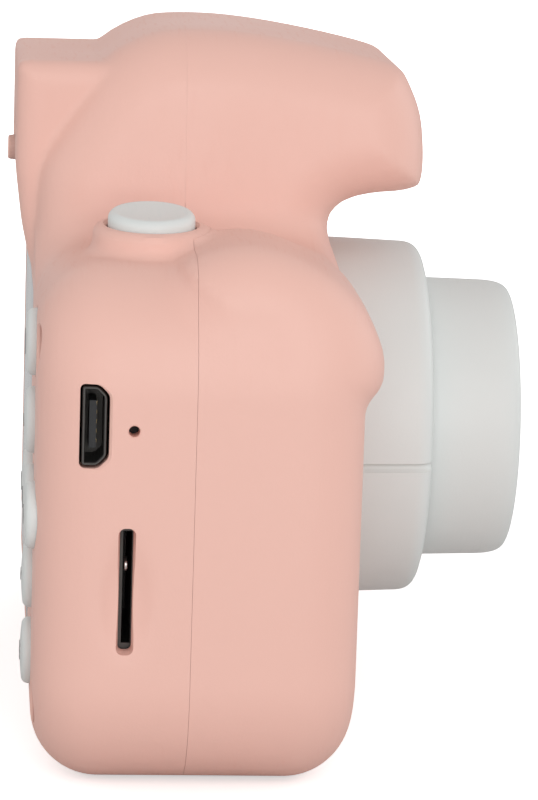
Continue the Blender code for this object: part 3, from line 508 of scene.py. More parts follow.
def swept(path: Array, profile: Array, out: Sequence[float], closed: bool = False) -> Surface:
    """Carry a flat profile along a path.

    A profile point (a, b) goes to the path's point plus a times the side direction plus b
    times out, where the side direction is square to the path and to out.

    Args:
        path: the path's points.
        profile: closed profile as side and outward distances.
        out: unit direction that the profile's second value is measured along.
        closed: whether the path is a loop.

    Returns:
        The points and faces.
    """
    if closed:
        along = np.roll(path, -1, axis=0) - np.roll(path, 1, axis=0)
    else:
        along = np.gradient(path, axis=0)
    along /= np.linalg.norm(along, axis=1, keepdims=True)
    side = np.cross(along, np.asarray(out, float))
    rings = (path[:, None] + profile[None, :, :1] * side[:, None]
             + profile[None, :, 1:] * np.asarray(out, float))
    return loft(rings, hollow=closed)


def rounded_rectangle(half: tuple[float, float], corner: float, steps: int = 8) -> Array:
    """Closed outline of a rectangle about zero with quarter-circle corners.

    Args:
        half: half its width and half its height.
        corner: radius of the corners.
        steps: points on a corner, less one.

    Returns:
        The outline, anticlockwise.
    """
    turn = np.linspace(0, math.pi / 2, steps + 1)[None] + np.arange(4)[:, None] * math.pi / 2
    sign = np.array([[1, 1], [-1, 1], [-1, -1], [1, -1]], float)[:, None]
    centre = sign * (np.asarray(half) - corner)
    circle = corner * np.stack([np.cos(turn), np.sin(turn)], axis=-1)
    return (centre + circle).reshape(-1, 2)


def grown(outline: Array, distance: float) -> Array:
    """Move each point of a closed anticlockwise outline outwards along its mitre."""
    before = outline - np.roll(outline, 1, axis=0)
    after = np.roll(outline, -1, axis=0) - outline
    before /= np.linalg.norm(before, axis=1, keepdims=True)
    after /= np.linalg.norm(after, axis=1, keepdims=True)
    normals = np.stack([before[:, 1] + after[:, 1], -before[:, 0] - after[:, 0]], axis=-1)
    normals /= np.linalg.norm(normals, axis=1, keepdims=True)
    share = normals[:, 0] * before[:, 1] - normals[:, 1] * before[:, 0]
    return outline + distance * normals / np.maximum(share, 0.5)[:, None]


def plate(outline: Array, levels: Sequence[tuple[float, float]], axis: str) -> Surface:
    """Stack an outline along an axis, grown by a given distance at each level.

    Args:
        outline: closed outline in the other two axes.
        levels: how much the outline grows, and its station along the axis.
        axis: X or Y.

    Returns:
        The points and faces.
    """
    rings = []
    for growth, station in levels:
        ring = grown(outline, growth) if growth else outline
        rings.append(np.insert(ring, "XYZ".index(axis), station, axis=1))
    return loft(np.array(rings))


def box_distance(a: Array, b: Array, half_a: float, half_b: float, corner: float) -> Array:
    """Signed distance to a rectangle about zero with round corners."""
    over_a = np.abs(a) - half_a + corner
    over_b = np.abs(b) - half_b + corner
    outside = np.hypot(np.maximum(over_a, 0), np.maximum(over_b, 0))
    return outside + np.minimum(np.maximum(over_a, over_b), 0) - corner


def extruded(flat: Array, along: Array, half: float | Array, rounding: float) -> Array:
    """Signed distance to a shape extruded along an axis, with rounded end edges.

    Args:
        flat: signed distance to the shape in its own plane.
        along: distance from the extrusion's middle.
        half: half the extrusion's length.
        rounding: radius of its end edges.

    Returns:
        The signed distance.
    """
    over_flat = flat + rounding
    over_end = np.abs(along) - half + rounding
    outside = np.hypot(np.maximum(over_flat, 0), np.maximum(over_end, 0))
    return outside + np.minimum(np.maximum(over_flat, over_end), 0) - rounding


def blended(a: Array, b: Array, width: float) -> Array:
    """Union of two distances whose crease is filled over the given width.

    It is the lower one, less a quarter of the width times the square of how nearly they agree.
    """
    near = np.maximum(width - np.abs(a - b), 0) / width
    return np.minimum(a, b) - near * near * width / 4


def outline_distance(a: Array, b: Array, outline: Array) -> Array:
    """Signed distance to a closed outline, negative inside.

    The distance is to the nearest of its sides, and a point is inside where a ray from it
    crosses the outline an odd number of times.

    Args:
        a: first coordinate of the points.
        b: second coordinate of the points.
        outline: corners, one row each.

    Returns:
        The signed distance at each point.
    """
    a, b = (v[..., None] for v in np.broadcast_arrays(a, b))
    start_a, start_b = outline.T
    side_a, side_b = (np.roll(outline, -1, axis=0) - outline).T
    share = ((a - start_a) * side_a + (b - start_b) * side_b) / (side_a ** 2 + side_b ** 2)
    share = np.clip(share, 0, 1)
    away = np.hypot(a - start_a - share * side_a, b - start_b - share * side_b).min(axis=-1)
    crosses = (start_b > b) != (start_b + side_b > b)
    level = np.where(np.abs(side_b) < 1e-9, 1e-9, side_b)
    left = a < start_a + side_a * (b - start_b) / level
    inside = (crosses & left).sum(axis=-1) % 2 == 1
    return np.where(inside, -away, away)


def corner_cut(outline: Sequence[tuple[float, float]], rounds: int = 2) -> Array:
    """Smooth a closed outline by cutting every corner at a quarter of its sides."""
    points = np.asarray(outline, float)
    for _ in range(rounds):
        following = np.roll(points, -1, axis=0)
        pair = np.stack([0.75 * points + 0.25 * following, 0.25 * points + 0.75 * following], axis=1)
        points = pair.reshape(-1, 2)
    return points


EDGE_STARTS = np.array([0, 0, 0, 1, 1, 2, 2, 3, 4, 4, 5, 6])
EDGE_ENDS = np.array([1, 2, 4, 3, 5, 3, 6, 7, 5, 6, 7, 7])


def net(distance: Callable[[Array, Array, Array], Array], low: Sequence[float],
        high: Sequence[float], pitch: float, passes: int = 2) -> Surface:
    """Closed skin over a shape given by its signed distance.

    Space is divided into cells. A cell that the surface passes through gets one point, the
    mean of where the surface crosses the cell's edges, and each crossed edge gets a quad
    between the four cells round it. Each point is then moved along the slope of the distance
    until the distance there is zero.

    Args:
        distance: signed distance as a function of x, y and z.
        low: lowest corner of the space.
        high: highest corner of the space.
        pitch: size of a cell.
        passes: how often the points are moved.

    Returns:
        The points and faces.
    """
    axes = [np.arange(a, b + pitch, pitch) for a, b in zip(low, high)]
    shape = tuple(len(axis) for axis in axes)
    x, y, z = np.meshgrid(*axes, indexing="ij", sparse=True)
    values = np.ascontiguousarray(np.broadcast_to(distance(x, y, z), shape))
    inside = values < 0
    offsets = np.array([(i, j, k) for i in (0, 1) for j in (0, 1) for k in (0, 1)])
    cells = tuple(n - 1 for n in shape)
    filled = sum(inside[i:i + cells[0], j:j + cells[1], k:k + cells[2]].astype(int)
                 for i, j, k in offsets)
    active = np.argwhere((filled > 0) & (filled < 8))
    number = np.full(cells, -1)
    number[tuple(active.T)] = np.arange(len(active))
    corner = active[:, None] + offsets[None]
    value = values[corner[..., 0], corner[..., 1], corner[..., 2]]
    start = value[:, EDGE_STARTS]
    end = value[:, EDGE_ENDS]
    crossed = ((start < 0) != (end < 0)).astype(float)
    share = start / np.where(crossed > 0, start - end, 1.0)
    ends = offsets[EDGE_ENDS] - offsets[EDGE_STARTS]
    places = offsets[EDGE_STARTS][None] + share[..., None] * ends[None]
    mean = (places * crossed[..., None]).sum(axis=1) / crossed.sum(axis=1)[:, None]
    points = np.array([axis[0] for axis in axes]) + (active + mean) * pitch
    quads = []
    for axis in range(3):
        one, two = [other for other in range(3) if other != axis]
        along = np.moveaxis(inside, axis, 0)
        change = along[:-1] != along[1:]
        where = np.argwhere(change[:, 1:-1, 1:-1]) + (0, 1, 1)
        rising = along[tuple(where.T)]
        cell = np.zeros((len(where), 4, 3), int)
        cell[..., axis] = where[:, :1]
        cell[..., one] = where[:, 1:2] - np.array([1, 0, 0, 1])
        cell[..., two] = where[:, 2:3] - np.array([1, 1, 0, 0])
        quad = number[cell[..., 0], cell[..., 1], cell[..., 2]]
        turned_over = rising if axis != 1 else ~rising
        quads.append(np.where(turned_over[:, None], quad, quad[:, ::-1]))
    step = 0.02
    corners = np.array([(1, -1, -1), (-1, -1, 1), (-1, 1, -1), (1, 1, 1)])
    for _ in range(passes):
        slope = sum(c * distance(*(points + step * c).T)[:, None] for c in corners) / (4 * step)
        off = distance(*points.T)[:, None]
        points = points - np.clip(off, -0.6 * pitch, 0.6 * pitch) * slope / np.maximum(
            (slope ** 2).sum(axis=1, keepdims=True), 0.2)
    return points, np.concatenate(quads).tolist()


# --- bench: where meshes become pieces --------------------------------------------------------
class Bench:
    """Turns surfaces into pieces of the camera, placed in the frame and dressed."""

    def __init__(self, barrel_front: float = 36.1) -> None:
        """Find the middle of the case in the frame and make the shared effects.

        Args:
            barrel_front: how far the narrow barrel's front is from that middle.
        """
        self.shift = cad_low[1] / MM + barrel_front
        self.effects = SharedEffects()
        self.materials: dict[Look, bpy.types.Material] = {}

    def span(self, node: str) -> tuple[Array, Array]:
        """Lowest and highest corner of a CAD node in this file's millimetres."""
        low, high = (np.array(corner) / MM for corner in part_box(node))
        low[1] -= self.shift
        high[1] -= self.shift
        return low, high

    def middle(self, node: str) -> Array:
        """Middle of a CAD node's box in this file's millimetres."""
        low, high = self.span(node)
        return (low + high) / 2

    def round_part(self, node: str) -> tuple[float, float, float, tuple[float, float, float]]:
        """Radius, front, rear and a point on the axis of a CAD node that is round about Y."""
        low, high = self.span(node)
        middle = (low + high) / 2
        return (high[0] - low[0]) / 2, low[1], high[1], (middle[0], 0.0, middle[2])

    def metres(self, points: Array | Sequence[float]) -> Array:
        """Place points given in millimetres in the frame."""
        return (np.asarray(points, float) + (0.0, self.shift, 0.0)) * MM

    def material(self, look: Look) -> bpy.types.Material:
        """The material of a finish, made the first time it is asked for."""
        if look not in self.materials:
            self.materials[look] = FINISHES[look].build(look.value, self.effects)
        return self.materials[look]

    def solid(self, name: str, surface: Surface) -> bpy.types.Object:
        """Make an object of a surface with its faces pointing outwards.

        Args:
            name: the object's name.
            surface: points in millimetres, and faces.

        Returns:
            The object, at the origin.
        """
        points, faces = surface
        mesh = bpy.data.meshes.new(name)
        mesh.from_pydata(self.metres(points), [], faces)
        shell = bmesh.new()
        shell.from_mesh(mesh)
        if shell.calc_volume(signed=True) < 0:
            bmesh.ops.reverse_faces(shell, faces=shell.faces)
            shell.to_mesh(mesh)
        shell.free()
        mesh.validate()
        thing = bpy.data.objects.new(name, mesh)
        bpy.context.scene.collection.objects.link(thing)
        return thing

    def piece(self, name: str, shape: Surface | bpy.types.Object, look: Look, slot: str,
              body: str = "case", replaced: Iterable[str] = (), sharp: float = 32.0
              ) -> bpy.types.Object:
        """Finish a piece: shade it, dress it and let it ride on its body.

        Args:
            name: the piece's name.
            shape: a surface, or an object that already holds the mesh.
            look: its finish.
            slot: the record's material slot; not used.
            body: the body it moves with.
            replaced: CAD nodes that it stands for.
            sharp: angle in degrees above which an edge stays sharp.

        Returns:
            The finished piece.
        """
        thing = shape if isinstance(shape, bpy.types.Object) else self.solid(name, shape)
        thing.data.shade_smooth()
        thing.data.set_sharp_from_angle(angle=math.radians(sharp))
        thing.data.materials.clear()
        thing.data.materials.append(self.material(look))
        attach(thing, body)
        if replaced:
            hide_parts(*replaced)
        LOG.info("%s: %d faces, %s, on %s", name, len(thing.data.polygons), look.value, body)
        return thing

    def dress(self, node: str, look: Look) -> None:
        """Give a CAD node its finish."""
        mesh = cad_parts[node].data
        mesh.materials.clear()
        mesh.materials.append(self.material(look))
        LOG.info("%s: CAD piece, %s", node, look.value)


class Carver:
    """Cuts and joins one solid with others, all worked out together at the end."""

    def __init__(self, bench: Bench, target: bpy.types.Object) -> None:
        """Start with the solid to work on."""
        self.bench = bench
        self.target = target
        self.tools: list[bpy.types.Object] = []

    def _step(self, tool: Surface | bpy.types.Object, operation: str) -> None:
        """Queue one Boolean step with the manifold solver."""
        if not isinstance(tool, bpy.types.Object):
            tool = self.bench.solid(f"tool_{len(self.tools)}", tool)
            self.tools.append(tool)
        step = self.target.modifiers.new(operation, "BOOLEAN")
        step.object = tool
        step.operation = operation
        step.solver = "MANIFOLD"

    def cut(self, tool: Surface | bpy.types.Object) -> None:
        """Take a tool's shape away."""
        self._step(tool, "DIFFERENCE")

    def keep(self, tool: Surface | bpy.types.Object) -> None:
        """Keep only what is inside a tool's shape."""
        self._step(tool, "INTERSECT")

    def join(self, tool: Surface | bpy.types.Object) -> None:
        """Fuse a tool's shape on."""
        self._step(tool, "UNION")

    def finish(self) -> bpy.types.Object:
        """Work out the result and remove the tools."""
        depsgraph = bpy.context.evaluated_depsgraph_get()
        mesh = bpy.data.meshes.new_from_object(self.target.evaluated_get(depsgraph))
        self.target.modifiers.clear()
        self.target.data = mesh
        for tool in self.tools:
            bpy.data.objects.remove(tool, do_unlink=True)
        return self.target


def block(low: Sequence[float], high: Sequence[float]) -> Surface:
    """A plain box between two corners, for cutting and for hidden ribs."""
    outline = np.array([(low[0], low[2]), (high[0], low[2]), (high[0], high[2]),
                        (low[0], high[2])], float)
    return plate(outline, [(0.0, low[1]), (0.0, high[1])], "Y")


def pin(radius: float, start: float, end: float, centre: Sequence[float], axis: str = "Y",
        flare: float = 0.0, mouth: float = 0.0, segments: int = 48) -> Surface:
    """A round cutter, opened by a small cone where it leaves the surface.

    Args:
        radius: its radius.
        start: first station along the axis.
        end: last station, outside the surface.
        centre: a point on its axis.
        axis: X, Y or Z.
        flare: how much wider it is outside the surface.
        mouth: station of the surface.
        segments: points round it.

    Returns:
        The points and faces.
    """
    profile = [(0.0, start), (radius, start)]
    if flare:
        inward = math.copysign(flare, start - mouth)
        profile += [(radius, mouth + inward), (radius + flare, mouth)]
        radius += 1.02 * flare
        profile.append((radius, mouth - inward))
    profile += [(radius, end), (0.0, end)]
    if axis == "X":
        points, faces = turned(np.array(profile), (0, 0, 0), "Y", segments)
        points = points[:, [1, 0, 2]] + np.asarray(centre, float)
        return points, faces
    return turned(np.array(profile), centre, axis, segments)


# --- case ------------------------------------------------------------------------------------
@dataclass
class Case:
    """The two shells: body, grip roll, hump, eyepiece block and shutter collar.

    Sizes are in millimetres. The outer skin is the zero of one signed distance, so every
    part of the case runs into the next in one surface.
    """

    bench: Bench
    half_width: float = 48.0
    face_y: float = 16.2
    deck: float = 52.5
    corner: float = 12.0
    edge: float = 6.8
    wall: float = 2.0
    split: float = 0.8
    seam: float = 0.026
    tight_seam: float = 0.006
    tight_above: float = 55.8
    collar_seam: float = 0.02
    grip_x: tuple[float, float] = (-46.4, -23.4)
    grip_edge: float = 6.5
    hump_widths: tuple[float, float] = (39.6, 32.0)
    peak: float = 73.1
    hump_edge: float = 6.5
    eyepiece_half: float = 14.0
    eyepiece_edge: float = 2.2
    collar_centre: tuple[float, float] = (-30.0, 4.8)
    collar_radius: float = 5.9
    collar_top: float = 55.2
    collar_tilt: float = 0.06
    dish_centre: tuple[float, float] = (7.3, 20.7)
    screw_inset: float = 8.5
    grip_side: tuple[tuple[float, float], ...] = (
        (3.0, 38.0), (3.0, 52.4), (-0.6, 54.4), (-4.6, 55.0), (-8.2, 54.2), (-11.8, 52.5),
        (-14.3, 50.5), (-16.0, 48.7), (-17.2, 46.5), (-18.05, 44.1), (-18.1, 41.9),
        (-17.7, 40.7), (-16.8, 39.7), (-15.2, 38.8), (-12.0, 38.0))
    hump_side: tuple[tuple[float, float], ...] = (
        (-13.4, 43.0), (15.8, 43.0), (16.1, 50.0), (16.2, 56.0), (15.9, 59.6), (13.0, 64.6),
        (9.6, 69.8), (4.6, 72.7), (0.0, 73.1), (-5.6, 72.9), (-13.0, 71.8), (-20.4, 70.2),
        (-22.2, 69.4), (-23.0, 68.0), (-24.2, 65.2), (-24.6, 62.0), (-24.6, 58.4),
        (-23.9, 56.9), (-17.8, 56.4), (-14.9, 54.9), (-13.7, 51.4))
    eyepiece_side: tuple[tuple[float, float], ...] = (
        (6.2, 46.0), (15.9, 46.4), (16.8, 48.9), (17.6, 52.6), (18.3, 58.2), (18.3, 69.6),
        (6.2, 69.6))
    outlines: dict[str, Array] = field(default_factory=dict)

    def __post_init__(self) -> None:
        """Work out the side outlines of the grip roll, the hump and the eyepiece block."""
        self.outlines["grip"] = corner_cut(self.grip_side, 1)
        self.outlines["hump"] = corner_cut(self.hump_side, 2)
        self.outlines["eyepiece"] = softened(self.eyepiece_side, 1.0, 3, closed=True)

    def base(self, x: Array, y: Array, z: Array) -> Array:
        """Signed distance to the body with its grip roll and hump.

        Args:
            x: positions across.
            y: positions along the lens axis.
            z: heights.

        Returns:
            The distance, negative inside.
        """
        front = box_distance(x, z - self.deck / 2, self.half_width, self.deck / 2, self.corner)
        body = extruded(front, y, self.face_y, self.edge)
        roll = outline_distance(y, z, self.outlines["grip"])
        start, end = self.grip_x
        grip = extruded(roll, x - (start + end) / 2, (end - start) / 2, self.grip_edge)
        flat = outline_distance(y, z, self.outlines["hump"])
        share = np.clip((z - self.deck) / (self.peak - self.deck), -0.3, 1.0)
        wide = (self.hump_widths[0] + (self.hump_widths[1] - self.hump_widths[0]) * share) / 2
        hump = extruded(flat, x, wide, self.hump_edge)
        shape = blended(blended(body, grip, 1.3), hump, 4.0)
        outside = np.maximum(np.maximum(np.abs(x) - self.half_width, -z), y - self.face_y)
        return np.maximum(shape, outside)

    def eyepiece(self, x: Array, y: Array, z: Array) -> Array:
        """Signed distance to the eyepiece block, an outline extruded across."""
        flat = outline_distance(y, z, self.outlines["eyepiece"])
        return extruded(flat, x, self.eyepiece_half, self.eyepiece_edge)

    def skin(self, x: Array, y: Array, z: Array) -> Array:
        """Signed distance to the whole outside: base, eyepiece, collar, less the finger dish.

        The collar's top leans towards the grip side, by its tilt times the distance across.
        """
        shape = blended(self.base(x, y, z), self.eyepiece(x, y, z), 0.5)
        round_off = np.hypot(x - self.collar_centre[0], y - self.collar_centre[1])
        middle = self.collar_top - 3.0 + self.collar_tilt * (x - self.collar_centre[0])
        collar = extruded(round_off - self.collar_radius, z - middle, 3.0, 0.9)
        shape = blended(shape, collar, 1.4)
        off = np.sqrt(((x + self.half_width + 0.6) / 1.4) ** 2
                      + ((y - self.dish_centre[0]) / 2.85) ** 2
                      + ((z - self.dish_centre[1]) / 6.4) ** 2)
        dish = (off - 1) * 1.4
        return -blended(-shape, dish, 0.4)

    def hollow(self, x: Array, y: Array, z: Array) -> Array:
        """Signed distance to the inside space, one wall under the outside."""
        return np.minimum(self.base(x, y, z), self.eyepiece(x, y, z)) + self.wall

    def build(self, holes: dict[str, list[Surface]]) -> None:
        """Make both shells and open the holes that the other sub-assemblies need.

        Args:
            holes: cutters for the front and for the rear shell.
        """
        low = (-self.half_width - 1.5, -26.0, -1.5)
        high = (self.half_width + 1.5, 20.5, self.peak + 1.5)
        pitch = 0.62
        outer = net(self.skin, low, high, pitch)
        inner = net(self.hollow, low, high, 1.2, passes=1)
        x, y = self.collar_centre
        seat = self.collar_radius + 0.05
        for side, name in ((-1, "front"), (1, "rear")):
            carver = Carver(self.bench, self.bench.solid(f"{name}_case", outer))
            keep = Carver(self.bench, self.bench.solid(f"{name}_half", self.half(side)))
            if side > 0:
                keep.join(pin(seat, self.deck - 0.9, self.deck + 8, (x, y, 0), "Z"))
            else:
                keep.cut(pin(seat + self.collar_seam, self.deck - 1.0, self.deck + 8, (x, y, 0),
                             "Z"))
            half_solid = keep.finish()
            carver.keep(half_solid)
            hollow = self.bench.solid(f"{name}_hollow", inner)
            carver.cut(hollow)
            for boss in self.bosses(side):
                carver.join(boss)
            for hole in holes[name]:
                carver.cut(hole)
            shell = carver.finish()
            bpy.data.objects.remove(half_solid, do_unlink=True)
            bpy.data.objects.remove(hollow, do_unlink=True)
            self.bench.piece(f"{name}_case", shell, Look.CASE, "pink_shell",
                             replaced=[f"{name}_shell"], sharp=38)

    def half(self, side: int) -> Surface:
        """The half space of one shell, -1 for the front and 1 for the rear.

        The gap between the halves is the seam's width, and narrower on the hump.
        """
        wide = self.split + side * self.seam / 2
        tight = self.split + side * self.tight_seam / 2
        far = 90.0
        outline = np.array([(wide, -far), (side * far, -far), (side * far, far), (tight, far),
                            (tight, self.tight_above), (wide, self.tight_above)])
        return plate(outline, [(0.0, -far), (0.0, far)], "X")

    def bosses(self, side: int) -> list[Surface]:
        """Screw bosses inside one shell, -1 for the front and 1 for the rear."""
        places = [(sx * (self.half_width - self.screw_inset), z) for sx in (-1, 1)
                  for z in (self.screw_inset, self.deck - self.screw_inset)]
        end = self.face_y - self.wall + 0.4
        return [pin(2.9, self.split + side * 0.3, side * end, (x, 0, z)) for x, z in places]


# --- lens ------------------------------------------------------------------------------------
@dataclass
class Lens:
    """The fixed lens: a wide barrel, a narrower one in front, a ringed cone and its glass."""

    bench: Bench
    base_radius: float = 19.6
    base_front: float = -26.2
    front_radius: float = 15.4
    front_front: float = -36.1
    face_y: float = -16.2
    wall: float = 2.1
    bore: float = 10.6
    seat: float = 12.1
    seat_y: float = -30.0
    groove_angle: float = -5.6
    groove_half: float = 0.50
    groove_depth: float = 0.6

    def centre(self) -> tuple[float, float, float]:
        """A point on the optical axis, at station 0."""
        return (0.0, 0.0, float(self.bench.middle("lens_window")[2]))

    def hole(self) -> Surface:
        """The opening in the front shell, with a small lead-in."""
        return pin(self.base_radius + 0.14, -6.0, self.face_y - 6.0, self.centre(), flare=0.25,
                   mouth=self.face_y, segments=160)

    def build(self) -> None:
        """Make every piece of the lens."""
        self.base_barrel()
        self.front_barrel()
        self.cone()
        self.glass()

    def base_barrel(self) -> None:
        """The wide barrel: a rounded wall, with an index groove along each side.

        The radius at angle t is the profile's radius less a dent, deepest where t is the
        groove's angle and falling off with the square of the distance from it.
        """
        rear = self.bench.span("lens_base_barrel")[1][1]
        front = self.base_front
        inner = self.base_radius - self.wall
        rim = self.base_radius - 0.4
        lip = self.front_radius + 0.14
        profile = softened(
            [(inner, rear), (self.base_radius, rear), (self.base_radius, self.face_y), (rim, front),
             (lip, front), (lip, front + self.wall), (inner, front + self.wall)],
            (0.3, 0.3, 2.0, 1.9, 0.5, 0.3, 0.3), 7, closed=True)
        sides = [math.radians(180 - self.groove_angle), math.radians(self.groove_angle)]
        fine = np.linspace(-1.6, 1.6, 33)
        reach = self.groove_half / self.base_radius
        angles = np.concatenate([np.arange(180) * math.tau / 180]
                                + [(side + fine * reach) % math.tau for side in sides])
        angles = np.unique(np.round(angles, 6))

        def dent(turn: Array, station: Array) -> Array:
            """Depth of the grooves, only on the straight outer wall."""
            off = np.minimum(*(np.abs((turn - side + math.pi) % math.tau - math.pi)
                               for side in sides)) * self.base_radius
            shape = np.clip(1 - (off / self.groove_half) ** 2, 0, 1)
            reach_in = np.clip((self.face_y - station) / 0.8, 0, 1)
            return self.groove_depth * shape * reach_in

        self.bench.piece("base_barrel_skin", turned(profile, self.centre(), angles=angles, dent=dent),
                         Look.WHITE, "white_plastic", replaced=["lens_base_barrel"])

    def front_barrel(self) -> None:
        """The narrower barrel: a slight taper, a full front rounding and a stepped seat."""
        rear = self.bench.span("lens_front_barrel")[1][1]
        low = self.base_front + self.wall + 0.3
        foot = self.base_radius - self.wall - 0.3
        front = self.front_front
        profile = softened(
            [(self.bore, rear), (foot, rear), (foot, low), (self.front_radius, low),
             (self.front_radius - 0.3, front), (self.seat + 0.6, front), (self.seat, front + 0.9),
             (self.seat, self.seat_y), (self.bore, self.seat_y)],
            (0.3, 0.3, 0.3, 0.2, 3.0, 0.5, 0.4, 0.1, 0.1), 9, closed=True)
        self.bench.piece("front_barrel_skin", turned(profile, self.centre(), segments=192),
                         Look.WHITE, "white_plastic", replaced=["lens_front_barrel"])

    def cone(self) -> None:
        """The black cone in front of the glass, with fine steps that stop stray light.

        The steps are a saw wave: at share s along the cone the radius falls in a straight
        line and each step's front edge stands out by a fifth of its length.
        """
        outer, front, rear, _ = self.bench.round_part("lens_trim_ring")
        steps = 9
        share = np.linspace(0, 1, steps + 1)
        radius = outer - 0.9 + (0.62 * outer - outer + 0.9) * share
        station = front + (rear - 0.6 - front) * share
        stairs = np.stack([np.stack([radius[:-1], station[:-1]], axis=1),
                           np.stack([radius[:-1], station[1:] - 0.04], axis=1)], axis=1)
        stairs = stairs.reshape(-1, 2)
        profile = np.concatenate([
            [(outer, front + 0.12), (outer - 0.12, front)], stairs,
            [(radius[-1], station[-1]), (radius[-1], rear), (outer - 0.1, rear),
             (outer, rear - 0.1)]])
        self.bench.piece("lens_cone", turned(profile, self.centre(), segments=144), Look.BLACK,
                         "black_plastic", replaced=["lens_trim_ring"], sharp=25)

    def glass(self) -> None:
        """Front glass with a shallow dome, and the camera's own coated lens behind it.

        A dome's face falls back from its middle with the square of the share of the radius.
        """
        radius, front, rear, _ = self.bench.round_part("lens_window")
        share = np.linspace(0, 0.97, 14)
        dome = np.stack([share * radius, front + 0.35 * share ** 2], axis=1)
        profile = np.concatenate([dome, [(radius - 0.05, front + 0.4), (radius, front + 0.5),
                                         (radius, rear - 0.1), (radius - 0.1, rear),
                                         (0.0, rear)]])
        self.bench.piece("front_glass", turned(profile, self.centre(), segments=128),
                         Look.LENS_GLASS, "clear_window", replaced=["lens_window"])
        radius, front, rear, _ = self.bench.round_part("front_camera_lens")
        share = np.linspace(0, 0.96, 12)
        dome = np.stack([share * radius, front + 0.45 * share ** 2], axis=1)
        profile = np.concatenate([dome, [(radius, front + 0.5), (radius, rear), (0.0, rear)]])
        self.bench.piece("camera_pupil", turned(profile, self.centre(), segments=64),
                         Look.PUPIL, "dark_glass", replaced=["front_camera_lens"])


# --- shutter and rear buttons ----------------------------------------------------------------
def cap_profile(stem: Sequence[tuple[float, float]], radius: float, top: float, edge: float,
                dish: float) -> Array:
    """Profile of a button: a stem and flange, then a rounded cap with a dished or domed top.

    The edge is a quarter circle and the top is a shallow parabola.

    Args:
        stem: corners of the stem and flange, from the axis outwards.
        radius: the cap's radius.
        top: station of the top's outer edge.
        edge: radius of the rounding.
        dish: how far the middle lies above that station; negative for a hollow.

    Returns:
        The profile from pole to pole.
    """
    turn = np.linspace(0, math.pi / 2, 9)
    quarter = np.stack([radius - edge + edge * np.cos(turn), top - edge + edge * np.sin(turn)],
                       axis=1)
    share = np.linspace(0.93, 0, 10)
    crown = np.stack([share * (radius - edge), top + dish * (1 - share ** 2)], axis=1)
    return np.concatenate([np.asarray(stem, float), quarter, crown])


@dataclass
class Shutter:
    """The shutter button in its collar on the deck."""

    bench: Bench
    radius: float = 4.4
    edge: float = 0.8
    clearance: float = 0.17
    deck: float = 52.5
    collar_top: float = 55.2
    collar_tilt: float = 0.06
    tilt: float = 0.13
    lean_height: float = 3.0
    stem: float = 1.5
    stem_length: float = 1.6
    flange_thickness: float = 1.0
    hollow: float = 0.22

    def hole(self) -> Surface:
        """The collar's bore, with a small lead-in at its top, which leans with the collar."""
        points, faces = pin(self.radius + self.clearance, self.deck - 4.0, self.collar_top + 4.0,
                            self.place(), "Z", flare=0.3, mouth=self.collar_top, segments=72)
        return self.leaning(points, self.collar_top - 1.5, self.collar_tilt), faces

    def leaning(self, points: Array, start: float, tilt: float) -> Array:
        """Lift what is above a height by the tilt times the distance across from the axis.

        The tilt comes in evenly over the lean's height.
        """
        share = np.clip((points[:, 2] - start) / self.lean_height, 0, 1)
        lift = tilt * (points[:, 0] - self.place()[0]) * share
        return points + lift[:, None] * (0.0, 0.0, 1.0)

    def place(self) -> tuple[float, float, float]:
        """A point on the button's axis, at height 0."""
        x, y, _ = self.bench.middle("shutter_button")
        return (float(x), float(y), 0.0)

    def build(self) -> None:
        """Make the button: stem, flange and a lightly hollowed cap that leans with the collar."""
        low, high = self.bench.span("shutter_button")
        flange = (high[0] - low[0]) / 2
        bottom = low[2]
        under = bottom + self.stem_length
        over = under + self.flange_thickness
        stem = [(0, bottom), (self.stem, bottom), (self.stem, under), (flange, under),
                (flange, over), (self.radius, over)]
        profile = cap_profile(stem, self.radius, high[2] - 0.02, self.edge, -self.hollow)
        points, faces = turned(profile, self.place(), "Z", 96)
        points = self.leaning(points, over + 0.6, self.tilt)
        self.bench.piece("shutter_cap", (points, faces), Look.WHITE, "white_plastic",
                         "shutter_button", ["shutter_button"])


class Mark(Enum):
    """The sign on a rear button."""

    POWER = "power"
    UP = "up"
    LEFT = "left"
    OK = "ok"
    RIGHT = "right"
    DOWN = "down"
    MENU = "menu"


